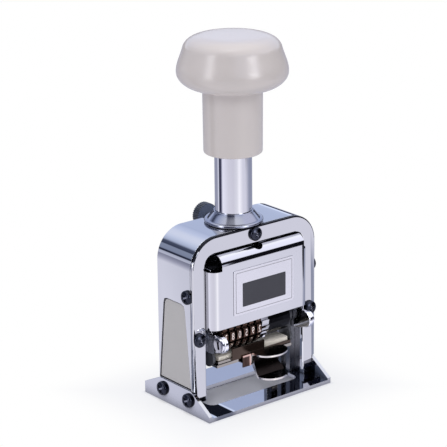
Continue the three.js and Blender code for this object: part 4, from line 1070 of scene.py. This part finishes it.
def screw_form():
    profile = [(0, 0), (HEAD, 0), *arc((HEAD - 0.9, 0.55), 0.9, 0, 70, 6)]
    profile += [(HEAD * 0.55, HEAD_HIGH - 0.12), (HEAD * 0.25, HEAD_HIGH - 0.02), (0, HEAD_HIGH)]
    return lathe_form(profile, 48)


print("a pan head is", 2 * HEAD, "mm wide and", HEAD_HIGH, "mm high")

# %% [markdown]
# Screws: nine black pan heads with a cross. The cross could be a dark picture on the head, but two
# arms cut into it catch the light as the real one does. Its floor is a lighter metal, partly wear
# from the driver and partly a painted glint.

# %% Screws
CROSS_ARM = [(-1.75, -0.36), (1.75, -0.36), (1.75, 0.36), (-1.75, 0.36)]
CROSS_FLOOR = 1.25
CROSS_REACH = 1.8
CROSS_TURN = 24
SCREW_EDGE = 0.08


def arm_form(turn):
    form = slab_form(CROSS_ARM, CROSS_FLOOR, 4, FLAT)
    turning = Matrix.Rotation(math.radians(turn), 3, "Z")
    bmesh.ops.rotate(form, matrix=turning, verts=form.verts)
    return form


def add_screw(name, direction):
    low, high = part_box(name)
    axis = 1 if direction[1] else 0
    foot = (low + high) / 2 / MM
    edge = low if direction[axis] < 0 else high
    foot[axis] = edge[axis] / MM - direction[axis] * HEAD_HIGH
    shape = shifted(turned_to(screw_form(), direction), foot)
    head = finished("head_of_" + name, shape, "frame", SCREW_BLACK)
    arms = [turned_to(arm_form(turn), direction) for turn in (CROSS_TURN, CROSS_TURN + 90)]
    carved(head, *[shifted(arm, foot) for arm in arms])

    def cross_floor(n, c):
        up = (c - foot).dot(Vector(direction))
        aside = c - foot - Vector(direction) * up
        return abs(up - CROSS_FLOOR) < 0.4 and aside.length < CROSS_REACH

    # The floor of the cross gets the lighter metal, partly a painted glint
    painted(head, SCREW_WORN_GLINT, cross_floor)
    softened(head, SCREW_EDGE, 2, 40)
    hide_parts(name)


def add_screws():
    names = {"front_screw_top": (0, -1, 0)}
    for word, side in (("left", -1), ("right", 1)):
        names[f"front_screw_{word}"] = (0, -1, 0)
        for place in ("side_screw", "base_screw_front", "base_screw_rear"):
            names[f"{place}_{word}"] = (side, 0, 0)
    for name, direction in names.items():
        add_screw(name, direction)
    return len(names)


print("screws:", add_screws())

# %% [markdown]
# Handle: a mushroom that fills the palm, on a slightly tapered neck, and hollow under, as a
# moulding is. Its crown could be made of arcs, but a moulding has no kinks, so three soft curves
# draw it, and a spin turns them into the handle.

# %% Handle
ROUND = 128  # the steps of a spin on a piece that is seen up close
HANDLE_TOP = 150.5


# A soft curve from the first point to the last, pulled towards the ones between
def curve_points(controls, steps=14):
    points = []
    for i in range(steps + 1):
        row = [Vector(c) for c in controls]
        while len(row) > 1:
            row = [a.lerp(b, i / steps) for a, b in zip(row, row[1:])]
        points.append(tuple(row[0]))
    return points


def handle_profile():
    shoulder = curve_points([(10, HANDLE_TOP - 0.2), (17.6, HANDLE_TOP - 0.2), (19.6, 146)])
    side = curve_points([(19.6, 146), (21, 141), (22.4, 139.2), (22.4, 135.8)])
    belly = curve_points([(22.4, 135.8), (22.4, 132.4), (18.5, 129.8), (15.2, 129.4)])
    neck = [(12.3, 129.3), (12.15, 129.0), (12.1, 128)]
    neck += [(11.92, 103.6), (11.8, 102.9), (11.4, 102.6)]
    hollow = [(8.0, 102.6), (7.9, 102.7), (7.9, 143), (4.1, 143), (4.1, 146.6), (0, 146.6)]
    crown = [(0, HANDLE_TOP), (5, HANDLE_TOP - 0.06)]
    return [*crown, *shoulder, *side[1:], *belly[1:], *neck, *hollow]


def make_handle():
    form = lathe_form(handle_profile(), ROUND)
    axis = (PRESS_X, 0, 0)
    handle = finished("handle", form, "plunger", HANDLE, axis, 40)
    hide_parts("handle_knob")


make_handle()
print("handle: top at", HANDLE_TOP, "mm")

# %% [markdown]
# Tube and collar. The handle slides on a plated tube, which a turned collar holds in the roof. The
# tube could be a plain cylinder, but its open end shows a wall, so its profile is closed round the
# bore. The collar's cone is a hollow curve, as a turner leaves it.

# %% Tube and collar
TUBE_BORE = 6.3
TUBE_RADIUS = 7.6


def tube_profile():
    low, high = 63.8, 119.5
    outer = [(TUBE_RADIUS, low), (TUBE_RADIUS, high - 0.4), (TUBE_RADIUS - 0.4, high)]
    return [(TUBE_BORE, low), *outer, (TUBE_BORE, high), (TUBE_BORE, low)]


def collar_profile():
    foot, bore = FRAME_TOP + 0.1, TUBE_RADIUS + 0.1
    rim = arc((11.35, foot + 0.75), 0.75, -90, 90, 10)
    cone = [(10.7, 1.5), (10.4, 1.9), (9.2, 3.4), (8.5, 4.3), (8.2, 4.9)]
    sweep = curve_points([(radius, foot + rise) for radius, rise in cone])
    return [(bore, foot), *rim, *sweep, (8.1, foot + 5), (bore, foot + 5), (bore, foot)]


def make_tube():
    axis = (PRESS_X, 0, 0)
    form = lathe_form(tube_profile(), ROUND)
    tube = finished("press_tube", form, "frame", TUBE, axis)
    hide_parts("guide_tube")
    form = lathe_form(collar_profile(), ROUND)
    collar = finished("collar", form, "frame", COLLAR, axis)
    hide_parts("tube_collar")


make_tube()
print("tube:", 2 * TUBE_RADIUS, "mm wide, bore", 2 * TUBE_BORE, "mm")

# %% [markdown]
# Return spring: wire wound to a coil and hidden in the tube. Its foot rests on the bush, so it
# stays with the frame. A curve along a path could draw it, but a spin with a rise for each step
# winds a small circle into the coil in one go.

# %% Return spring
COIL_TURNS = 9
COIL_STEPS = 24
COIL_WIRE = 1.1


def make_spring():
    low, high = (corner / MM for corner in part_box("return_spring"))
    radius = (high.x - low.x - COIL_WIRE) / 2
    form = bmesh.new()
    upright = Matrix.Rotation(math.radians(90), 4, "X")
    place = Matrix.Translation((radius, 0, low.z + COIL_WIRE / 2)) @ upright
    bmesh.ops.create_circle(form, segments=8, radius=COIL_WIRE / 2, cap_ends=True, matrix=place)
    wire = [*form.verts, *form.edges, *form.faces]
    steps, angle = COIL_TURNS * COIL_STEPS, 2 * math.pi * COIL_TURNS
    rise = (0, 0, (high.z - low.z - COIL_WIRE) / steps)
    bmesh.ops.spin(form, geom=wire, axis=(0, 0, 1), dvec=rise, angle=angle, steps=steps)
    spring = finished("coil_spring", form, "frame", STEEL, (PRESS_X, 0, 0))
    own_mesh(spring)
    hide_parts("return_spring")
    return high.z - low.z


print("spring:", round(make_spring(), 1), "mm long at rest")

# %% [markdown]
# Face cover: a thin pressed shell that slides with the carriage. Its front edges are rolled, its
# upper corners are cut square and a notch clears the top screw. A folded sheet could be extruded,
# but here a block gets three bevelled edges and the same block, a wall smaller, is cut out of it,
# which keeps the wall even round the rolls.

# %% Face cover
COVER_HALF = 25.6
COVER_FRONT = -15.6
COVER_BACK = -9.3
COVER_LOW = 35.3
COVER_TOP = 65.9
COVER_EDGE = 0.15
ROLL = 4.2
THIN = 0.8
NOTCH = 2.9
NOTCH_DEEP = 2.3
CORNER_DROP = 6
CORNER_LEFT = 5.2
CORNER_RIGHT = 2.8


def cover_form(inset):
    half, top, front = COVER_HALF - inset, COVER_TOP - inset, COVER_FRONT + inset
    low = COVER_LOW - (1 if inset else 0)
    form = box_form(-half, half, front, 4, low, top)
    edges = []
    for edge in form.edges:
        ends = [vertex.co for vertex in edge.verts]
        at_front = all(abs(co.y - front) < SAME for co in ends)
        at_foot = all(abs(co.z - low) < SAME for co in ends)
        if at_front and not at_foot:
            edges.append(edge)
    rolled(form, edges, ROLL - inset, 16)
    return form


def make_cover():
    cover = finished("cover", cover_form(0), "plunger", CHROME)
    behind = box_form(-40, 40, COVER_BACK, 10, 0, 90)
    drop = COVER_TOP - CORNER_DROP
    left_corner = box_form(-40, CORNER_LEFT - COVER_HALF, -30, 10, drop, 90)
    right_corner = box_form(COVER_HALF - CORNER_RIGHT, 40, -30, 10, drop, 90)
    round_end = arc((0, COVER_BACK - NOTCH_DEEP), NOTCH, 180, 360, 24)
    notch = [(NOTCH, COVER_BACK + 1), (-NOTCH, COVER_BACK + 1), *round_end]
    notch = slab_form(notch, COVER_TOP - ROLL, 90, FLAT)
    carved(cover, cover_form(THIN), behind, left_corner, right_corner, notch)
    softened(cover, COVER_EDGE, 2, 40)
    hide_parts("face_cover")


make_cover()
print("cover:", 2 * COVER_HALF, "by", round(COVER_TOP - COVER_LOW, 1), "mm, wall", THIN, "mm")

# %% [markdown]
# Label: a plain silver plate with a thin rule round it and one dark field. The rule and the field
# could be painted by a material. They are slabs of a few hundredths of a millimetre instead,
# because they stay sharp at any distance.

# %% Label
LABEL_BOX = (-14.8, 16.8, 39.4, 58.6)
FIELD_BOX = (-10.3, 12.3, 42.7, 52.7)
LABEL_GAP = 0.05
LABEL_THICK = 0.25
LABEL_EDGE = 0.08
FIELD_RISE = 0.06
RULE_RISE = 0.03
ROOT = 0.01  # how far the field and the rule start inside the plate


def label_slab(inset, corner, low, high):
    x0, x1, z0, z1 = LABEL_BOX
    outline = rounded(x0 + inset, x1 - inset, z0 + inset, z1 - inset, corner)
    return slab_form(outline, low, high, FACING)


def make_label():
    back = COVER_FRONT - LABEL_GAP
    front = back - LABEL_THICK
    body, slot = "plunger", "label_white"
    plate = finished("label", label_slab(0, 0.8, front, back), body, LABEL)
    softened(plate, LABEL_EDGE, 2)
    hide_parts("label_plate")
    field = slab_form(rounded(*FIELD_BOX, 0.3), front - FIELD_RISE, front + ROOT, FACING)
    finished("label_field", field, body, LABEL_DARK)
    line = label_slab(1, 0.5, front - RULE_RISE, front + ROOT)
    rule = finished("label_rule", line, body, LABEL_RULE)
    carved(rule, label_slab(1.2, 0.4, back - 1, back))


make_label()
print("label:", round(LABEL_BOX[1] - LABEL_BOX[0], 1), "mm wide")

# %% [markdown]
# Cheeks: the two side plates of the carriage, which carry the shaft of the wheels and end in a
# round lobe in front. They could be joined from a box and a disc, but a stamped plate has one
# flowing edge, so each is one outline, with curves at the throat and the heel, and its hole.

# %% Cheeks
SHAFT = (0, -5.5, 30)
CHEEK_IN = 21.4
CHEEK_OUT = 23.2
CHEEK_TOP = 60
CHEEK_LOW = 24.5
CHEEK_FRONT = -11.2
CHEEK_REAR = 6
LOBE_Y = -17.3
LOBE = 3.4
LOBE_DROP = 0.1
CHEEK_HOLE = 2.6
CHEEK_EDGE = 0.3
THROUGH = (-40, 40)  # a cut that passes through everything


def cheek_outline():
    z = SHAFT[2]
    top, bend = z + LOBE - LOBE_DROP, 2 * LOBE
    throat = [(CHEEK_FRONT, z + bend), (CHEEK_FRONT, top), (CHEEK_FRONT - LOBE / 2, top)]
    heel = [(CHEEK_REAR - bend, CHEEK_LOW), (CHEEK_REAR, CHEEK_LOW)]
    heel += [(CHEEK_REAR, CHEEK_LOW + bend)]
    return [
        (CHEEK_REAR, CHEEK_TOP),
        (CHEEK_FRONT, CHEEK_TOP),
        *curve_points(throat, 8),
        *arc((LOBE_Y, z - LOBE_DROP), LOBE, 90, 270, 20),
        (CHEEK_FRONT, CHEEK_LOW),
        *curve_points(heel, 8),
    ]


def make_cheek(word, side):
    low, high = sorted((side * CHEEK_IN, side * CHEEK_OUT))
    plate = slab_form(cheek_outline(), low, high, ACROSS)
    cheek = finished(f"cheek_plate_{word}", plate, "plunger", CHEEK)
    carved(cheek, shifted(rod_form((1, 0, 0), CHEEK_HOLE, *THROUGH), SHAFT))
    softened(cheek, CHEEK_EDGE)
    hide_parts(f"cheek_{word}")


make_cheek("left", -1)
make_cheek("right", 1)
print("cheeks:", round(CHEEK_OUT - CHEEK_IN, 1), "mm thick")

# %% [markdown]
# Stop screws: turned heads with one slot, in the lobes. Like the pan heads they are spun from a
# profile. The slot could be a dark stripe, but it is cut, so that its edge glints. It stands
# almost upright, as a fitter left it, and its walls are painted dark as shade.

# %% Stop screws
STOP_SHANK = [(0, -1.8), (1.25, -1.8), (1.25, 0)]
STOP_HEAD = [(3.1, 0), (3.1, 0.75), (2.85, 1.05), (2.5, 1.1), (0, 1.1)]
STOP_SLOT = (-1.7, 1.7, -0.65, 0.65, 0.3)
SLOT_TURN = 80
SLOT_FLOOR = CHEEK_OUT + 0.65
SLOT_REACH = 2
STOP_GAP = 0.1
STOP_EDGE = 0.06


def make_stop(word, side):
    place = (side * (CHEEK_OUT + STOP_GAP), LOBE_Y, SHAFT[2])
    form = lathe_form(STOP_SHANK + STOP_HEAD, 48)
    head = shifted(turned_to(form, (side, 0, 0)), place)
    stop = finished(f"stop_head_{word}", head, "plunger", STOP_STEEL)
    low, high = sorted((side * SLOT_FLOOR, side * 40))
    slot = slab_form(rounded(*STOP_SLOT), low, high, ACROSS)
    turning = Matrix.Rotation(math.radians(SLOT_TURN), 3, "X")
    bmesh.ops.rotate(slot, matrix=turning, verts=slot.verts)
    carved(stop, shifted(slot, (0, LOBE_Y, SHAFT[2])))

    # The slot's walls get painted shade
    def slot_wall(n, c):
        aside = math.hypot(c.y - LOBE_Y, c.z - SHAFT[2])
        return abs(n.x) < 0.5 and aside < SLOT_REACH and abs(c.x) > SLOT_FLOOR - 0.05

    dark = painted(stop, PAINTED_DARK, slot_wall)
    softened(stop, STOP_EDGE, 2, 50)
    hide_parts(f"stop_screw_{word}")
    return dark


dark_faces = make_stop("left", -1) + make_stop("right", 1)
print("stop screws:", dark_faces, "dark faces in their slots")

# %% [markdown]
# Number wheels: six brass rings that turn on one shaft, each with ten blocks and a ratchet. Ten
# boxes could be joined to a disc, but one outline that steps in and out gives the blocks and the
# gaps at once, and a slab of it is the whole ring. The ratchet is a smaller toothed slab beside it.

# %% Number wheels
WHEELS = 6
PITCH = 3.5
BANK = -18.2
DRUM = 7.0
CREST = 8.0
BLOCK = 4
RING_OUT = CREST - 0.12
FIGURES_ROUND = 10
FIGURE_STEP = 360 // FIGURES_ROUND
TOOTH_TIP = 6.5
TOOTH_ROOT = 5.5
# From where to where the ring and the ratchet reach in a wheel's place along the shaft
RING_SPAN = (0.1, 2.3)
RATCHET_SPAN = (2.2, 3.2)
WHEEL_HOLE = 2.65
RING_EDGE = 0.08
SHOWN = (3, 8, 0, 5, 9, 2)


def ring_outline():
    points = []
    half = math.degrees(BLOCK / CREST / 2)
    for middle in range(0, 360, FIGURE_STEP):
        points += arc((0, 0), RING_OUT, middle - half, middle + half, 3)
        points += arc((0, 0), DRUM, middle + half, middle + FIGURE_STEP - half, 2)
    return points


def ratchet_outline():
    points = []
    for i in range(FIGURES_ROUND):
        angle = 2 * math.pi * i / FIGURES_ROUND
        along, up = math.cos(angle), math.sin(angle)
        points += [(reach * along, reach * up) for reach in (TOOTH_ROOT, TOOTH_TIP)]
    return points


def make_ring(i):
    low, body = BANK + PITCH * i, f"wheel_{i + 1}"
    start, end = RING_SPAN
    ring = slab_form(ring_outline(), low + start, low + end, ACROSS)
    wheel = finished(f"{body}_blocks", ring, body, RING_BRASS, SHAFT)
    start, end = RATCHET_SPAN
    ratchet = slab_form(ratchet_outline(), low + start, low + end, ACROSS)
    joined(wheel, shifted(ratchet, SHAFT))
    carved(wheel, shifted(rod_form((1, 0, 0), WHEEL_HOLE, *THROUGH), SHAFT))
    softened(wheel, RING_EDGE, 2, 40)
    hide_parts(f"number_wheel_{i + 1}")


for i in range(WHEELS):
    make_ring(i)
print("wheels:", WHEELS, "of", 2 * CREST, "mm")

# %% [markdown]
# Figures: engraved and standing proud, mirrored so that they print the right way round. Outlines
# drawn by hand could give their shape, but text does so at once. It is made a mesh before it is
# mirrored, stood up and turned to its block. Each wheel shows another figure in front, as in use.

# %% Figures
FIGURE_SIZE = 4.2
FIGURE_DEEP = 0.18
FIGURE_NARROW = 0.66
FIGURE_MIDDLE = 1.2


def figure_mesh(figure, x, turn):
    data = bpy.data.curves.new("figure", "FONT")
    data.body = str(figure)
    data.size = FIGURE_SIZE
    data.align_x = "CENTER"
    data.align_y = "CENTER"
    data.extrude = FIGURE_DEEP
    data.resolution_u = 3
    text = bpy.data.objects.new("figure", data)
    scene.collection.objects.link(text)
    graph = bpy.context.evaluated_depsgraph_get()
    shape = bpy.data.meshes.new_from_object(text.evaluated_get(graph))
    bpy.data.objects.remove(text)
    mirror = Matrix.Scale(-FIGURE_NARROW, 4, (1, 0, 0))
    stand = Matrix.Rotation(math.radians(90), 4, "X")
    out = Matrix.Translation((x, -RING_OUT, 0))
    shape.transform(Matrix.Rotation(math.radians(turn), 4, "X") @ out @ stand @ mirror)
    return shape


def make_figures(i):
    x, body = BANK + PITCH * i + FIGURE_MIDDLE, f"wheel_{i + 1}"
    form = bmesh.new()
    for k in range(FIGURES_ROUND):
        figure = (k + SHOWN[i]) % FIGURES_ROUND
        form.from_mesh(figure_mesh(figure, x, FIGURE_STEP * k))
    return finished(f"{body}_figures", form, body, FIGURES, SHAFT)


faces = sum(len(make_figures(i).data.polygons) for i in range(WHEELS))
print("figures:", FIGURES_ROUND * WHEELS, "with", faces, "faces")

# %% [markdown]
# Pad tray: folded sheet that holds the felt under the wheels, with a dark guard and a rounded
# finger tab in front. Each fold could be a sheet of its own, but boxes and one flat outline, joined
# and then hollowed, leave no seams. Its cut rim gets a painted highlight.

# %% Pad tray
TAB_TOP = -9.9
TAB_ROOT = -9.7
TAB_SHEET = 0.8
TRAY_LIP = -10.3
TRAY_HALF = 19.3
TRAY_FRONT = -5.5
TRAY_REAR = 3.5
TRAY_WALL = 0.7
TRAY_EDGE = 0.2
TRAY_FLOOR = -10.7
GUARD = (-12.5, 4.5, -6.2, -5.5, -11.4, -6.3)
# How far the round front reaches, and where the tab's painted rim highlight and plated end begin
FRONT_REACH = 6
RIM_FRONT = -11.8
PLATED_FROM = (-12.6, -11.5)


def round_front(shift, half):
    circle = arc((0, 0), 1, 0, -180, 48)
    return [(shift + half * u, TAB_ROOT + FRONT_REACH * v) for u, v in circle]


def tab_outline():
    flare = curve_points([(4.5, -6.2), (12.5, -6.2), (12.5, TAB_ROOT)], 12)
    return [(-3, -5.15), (4.5, -5.15), *flare, *round_front(4.75, 7.75)]


def make_tray():
    half, front, rear = TRAY_HALF, TRAY_FRONT, TRAY_REAR
    form = box_form(-half, half, front, rear, TRAY_FLOOR - TRAY_WALL, TRAY_LIP)
    tray = finished("felt_tray", shifted(form, SHAFT), "pad", DARK_TAB)
    x0, x1, y0, y1, z0, z1 = GUARD
    joined(tray, shifted(box_form(*GUARD), SHAFT))
    joined(tray, shifted(box_form(x0, x1, y0 + 0.1, y1 + 0.35, z0, TRAY_LIP), SHAFT))
    joined(tray, shifted(slab_form(tab_outline(), TAB_TOP - TAB_SHEET, TAB_TOP, FLAT), SHAFT))
    inner = half - TRAY_WALL
    hollow = box_form(-inner, inner, front + TRAY_WALL, rear - TRAY_WALL, TRAY_FLOOR, 0)
    carved(tray, shifted(hollow, SHAFT))
    tab_high = SHAFT[2] + TAB_TOP + 0.02
    tab_low = tab_high - TAB_SHEET - 0.04

    def tab_rim(n, c):
        return abs(n.z) < 0.5 and c.y < RIM_FRONT and tab_low < c.z < tab_high

    def left_end(n, c):
        return c.x < PLATED_FROM[0] and c.y > PLATED_FROM[1]

    # The tab's cut rim gets a painted highlight
    painted(tray, RIM_HIGHLIGHT, tab_rim)
    painted(tray, TRAY, left_end)
    softened(tray, TRAY_EDGE)
    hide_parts("pad_tray")


make_tray()
print("tray:", 2 * TRAY_HALF, "mm wide")

# %% [markdown]
# Felt: a soft block that stands out of its tray. A plain box would look like wood, so a cube is
# divided and its points are drawn in at the waist and down at the rim, which leaves a low crown.

# %% Felt
FELT_TOP = -8.3
FELT_HALF = 18.4
FELT_FRONT = -4.6
FELT_REAR = 2.6
FELT_GAP = 0.1
# How far the rim is drawn down, and what share of the width is drawn in at the waist
FELT_CROWN = 0.5
FELT_PULL = 0.02


def make_felt():
    form = bmesh.new()
    bmesh.ops.create_cube(form, size=2)
    bmesh.ops.subdivide_edges(form, edges=form.edges, cuts=15, use_grid_fill=True)
    low = TRAY_FLOOR + FELT_GAP
    for vertex in form.verts:
        u, v, w = vertex.co
        crown = (1 - u**8) * (1 - v**6)
        pull = FELT_PULL * (1 - w * w)
        x = u * FELT_HALF * (1 - 0.3 * pull)
        y = (FELT_FRONT + FELT_REAR) / 2 + v * (FELT_REAR - FELT_FRONT) / 2 * (1 - pull)
        z = low + (FELT_TOP - low) * (w + 1) / 2 - FELT_CROWN * (1 - crown) * max(w, 0)
        vertex.co = (x, y, z)
    pad = finished("felt", shifted(form, SHAFT), "pad", FELT, smooth=60)
    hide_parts("ink_pad")


make_felt()
print("felt:", 2 * FELT_HALF, "by", round(FELT_REAR - FELT_FRONT, 1), "mm")

# %% [markdown]
# Release lever: a bent strip on a pin, whose round lip is pinched against the tab to free the pad.
# A flat sheet could be bent with a modifier, but an outline seen from the side and pulled across
# holds the curve of the real web exactly. One corner is cut off aslant, and sleeve, lip and tail
# are joined to it.

# %% Release lever
LEVER_PIN = (-4.4, -14.9)
LEVER_SHEET = 0.8
LEVER_X = (-1.5, 12.5)
LEVER_LIP = -20.2
SLEEVE = 1.5
LEVER_HOLE = 0.85
LEVER_EDGE = 0.2
TAIL_REAR = 1.5


def web_outline():
    pin_y, pin_z = LEVER_PIN
    high, bend = pin_z + 2, pin_y - SLEEVE - LEVER_SHEET
    under = LEVER_LIP - LEVER_SHEET
    front = [(pin_y - SLEEVE - 0.4, high), (bend, (high + LEVER_LIP) / 2), (TAB_ROOT, under)]
    back = [(TAB_ROOT + LEVER_SHEET, under), (bend + LEVER_SHEET, (pin_z + LEVER_LIP) / 2)]
    back += [(pin_y - SLEEVE / 2, pin_z - LEVER_SHEET)]
    root = [(pin_y - SLEEVE / 2, pin_z), (pin_y - SLEEVE, high)]
    return [*root, *curve_points(front), *curve_points(back)]


def make_lever():
    (pin_y, pin_z), (x0, x1), lip = LEVER_PIN, LEVER_X, LEVER_LIP
    pin = (0, pin_y + SHAFT[1], pin_z + SHAFT[2])
    sleeve = shifted(rod_form((1, 0, 0), SLEEVE, x0, x1), pin)
    lever = finished("pad_release", sleeve, "release", LEVER_DARK)
    web = finished("web", shifted(slab_form(web_outline(), x0, x1, ACROSS), SHAFT))
    high = pin_z + 2
    slope = [(x1 - 4, high + 1), (x1 + 1, high + 1), (x1 + 1, lip + 1), (x1, lip + 1)]
    carved(web, shifted(slab_form(slope, -16, pin_y - SLEEVE, FACING), SHAFT))
    joined(lever, web)
    back = TAB_ROOT + LEVER_SHEET
    lip_shape = [(x0, back), (x1, back), *round_front((x0 + x1) / 2, (x1 - x0) / 2)]
    joined(lever, shifted(slab_form(lip_shape, lip - LEVER_SHEET, lip, FLAT), SHAFT))
    tail_low = pin_z - SLEEVE
    tail = box_form(x0, x1, pin_y, TAIL_REAR, tail_low, tail_low + LEVER_SHEET)
    joined(lever, shifted(tail, SHAFT))
    carved(lever, shifted(rod_form((1, 0, 0), LEVER_HOLE, *THROUGH), pin))
    lip_high = SHAFT[2] + lip + 0.02

    # The lever's left end and the edge of its lip get the painted rim highlight
    def rim(n, c):
        return n.x < -0.8 or abs(n.z) < 0.5 and c.z < lip_high and c.y < pin[1]

    bright = painted(lever, RIM_HIGHLIGHT, rim)
    softened(lever, LEVER_EDGE)
    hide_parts("release_lever")
    return bright


print("lever:", make_lever(), "bright faces on its rim")

# %% [markdown]
# Lock knob: a small ribbed button behind the roof, pushed in to hold the handle down. Thin bars
# could be set round a disc, but one outline that steps in and out draws all the ribs. A wide
# rounding then gives it the domed face of a moulding.

# %% Lock knob
KNOB_RADIUS = 5.2
KNOB_Y = (17.0, 20.5)
RIBS = 36
RIB_DEEP = 0.25
# Each rib's crest and the gap after it, in degrees from where the rib starts
RIB_CREST = (0, 6)
RIB_GAP = (7, 9)
KNOB_DOME = 0.7


def make_lock_knob():
    outline = []
    for i in range(RIBS):
        start = 360 / RIBS * i
        for radius, (near, far) in ((KNOB_RADIUS, RIB_CREST), (KNOB_RADIUS - RIB_DEEP, RIB_GAP)):
            outline += arc((0, 0), radius, start + near, start + far, 1)
    form = shifted(slab_form(outline, *KNOB_Y, FACING), (PRESS_X, 0, LOCK_Z))
    knob = finished("lock_button", form, "lock", KNOB_BLACK)
    # The flat faces get a painted reflection of the sky
    painted(knob, KNOB_SKY_REFLECTION, lambda n, c: abs(n.y) > 0.9)
    softened(knob, KNOB_DOME, 4, 60)
    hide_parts("lock_knob")


make_lock_knob()
print("lock knob:", RIBS, "ribs")
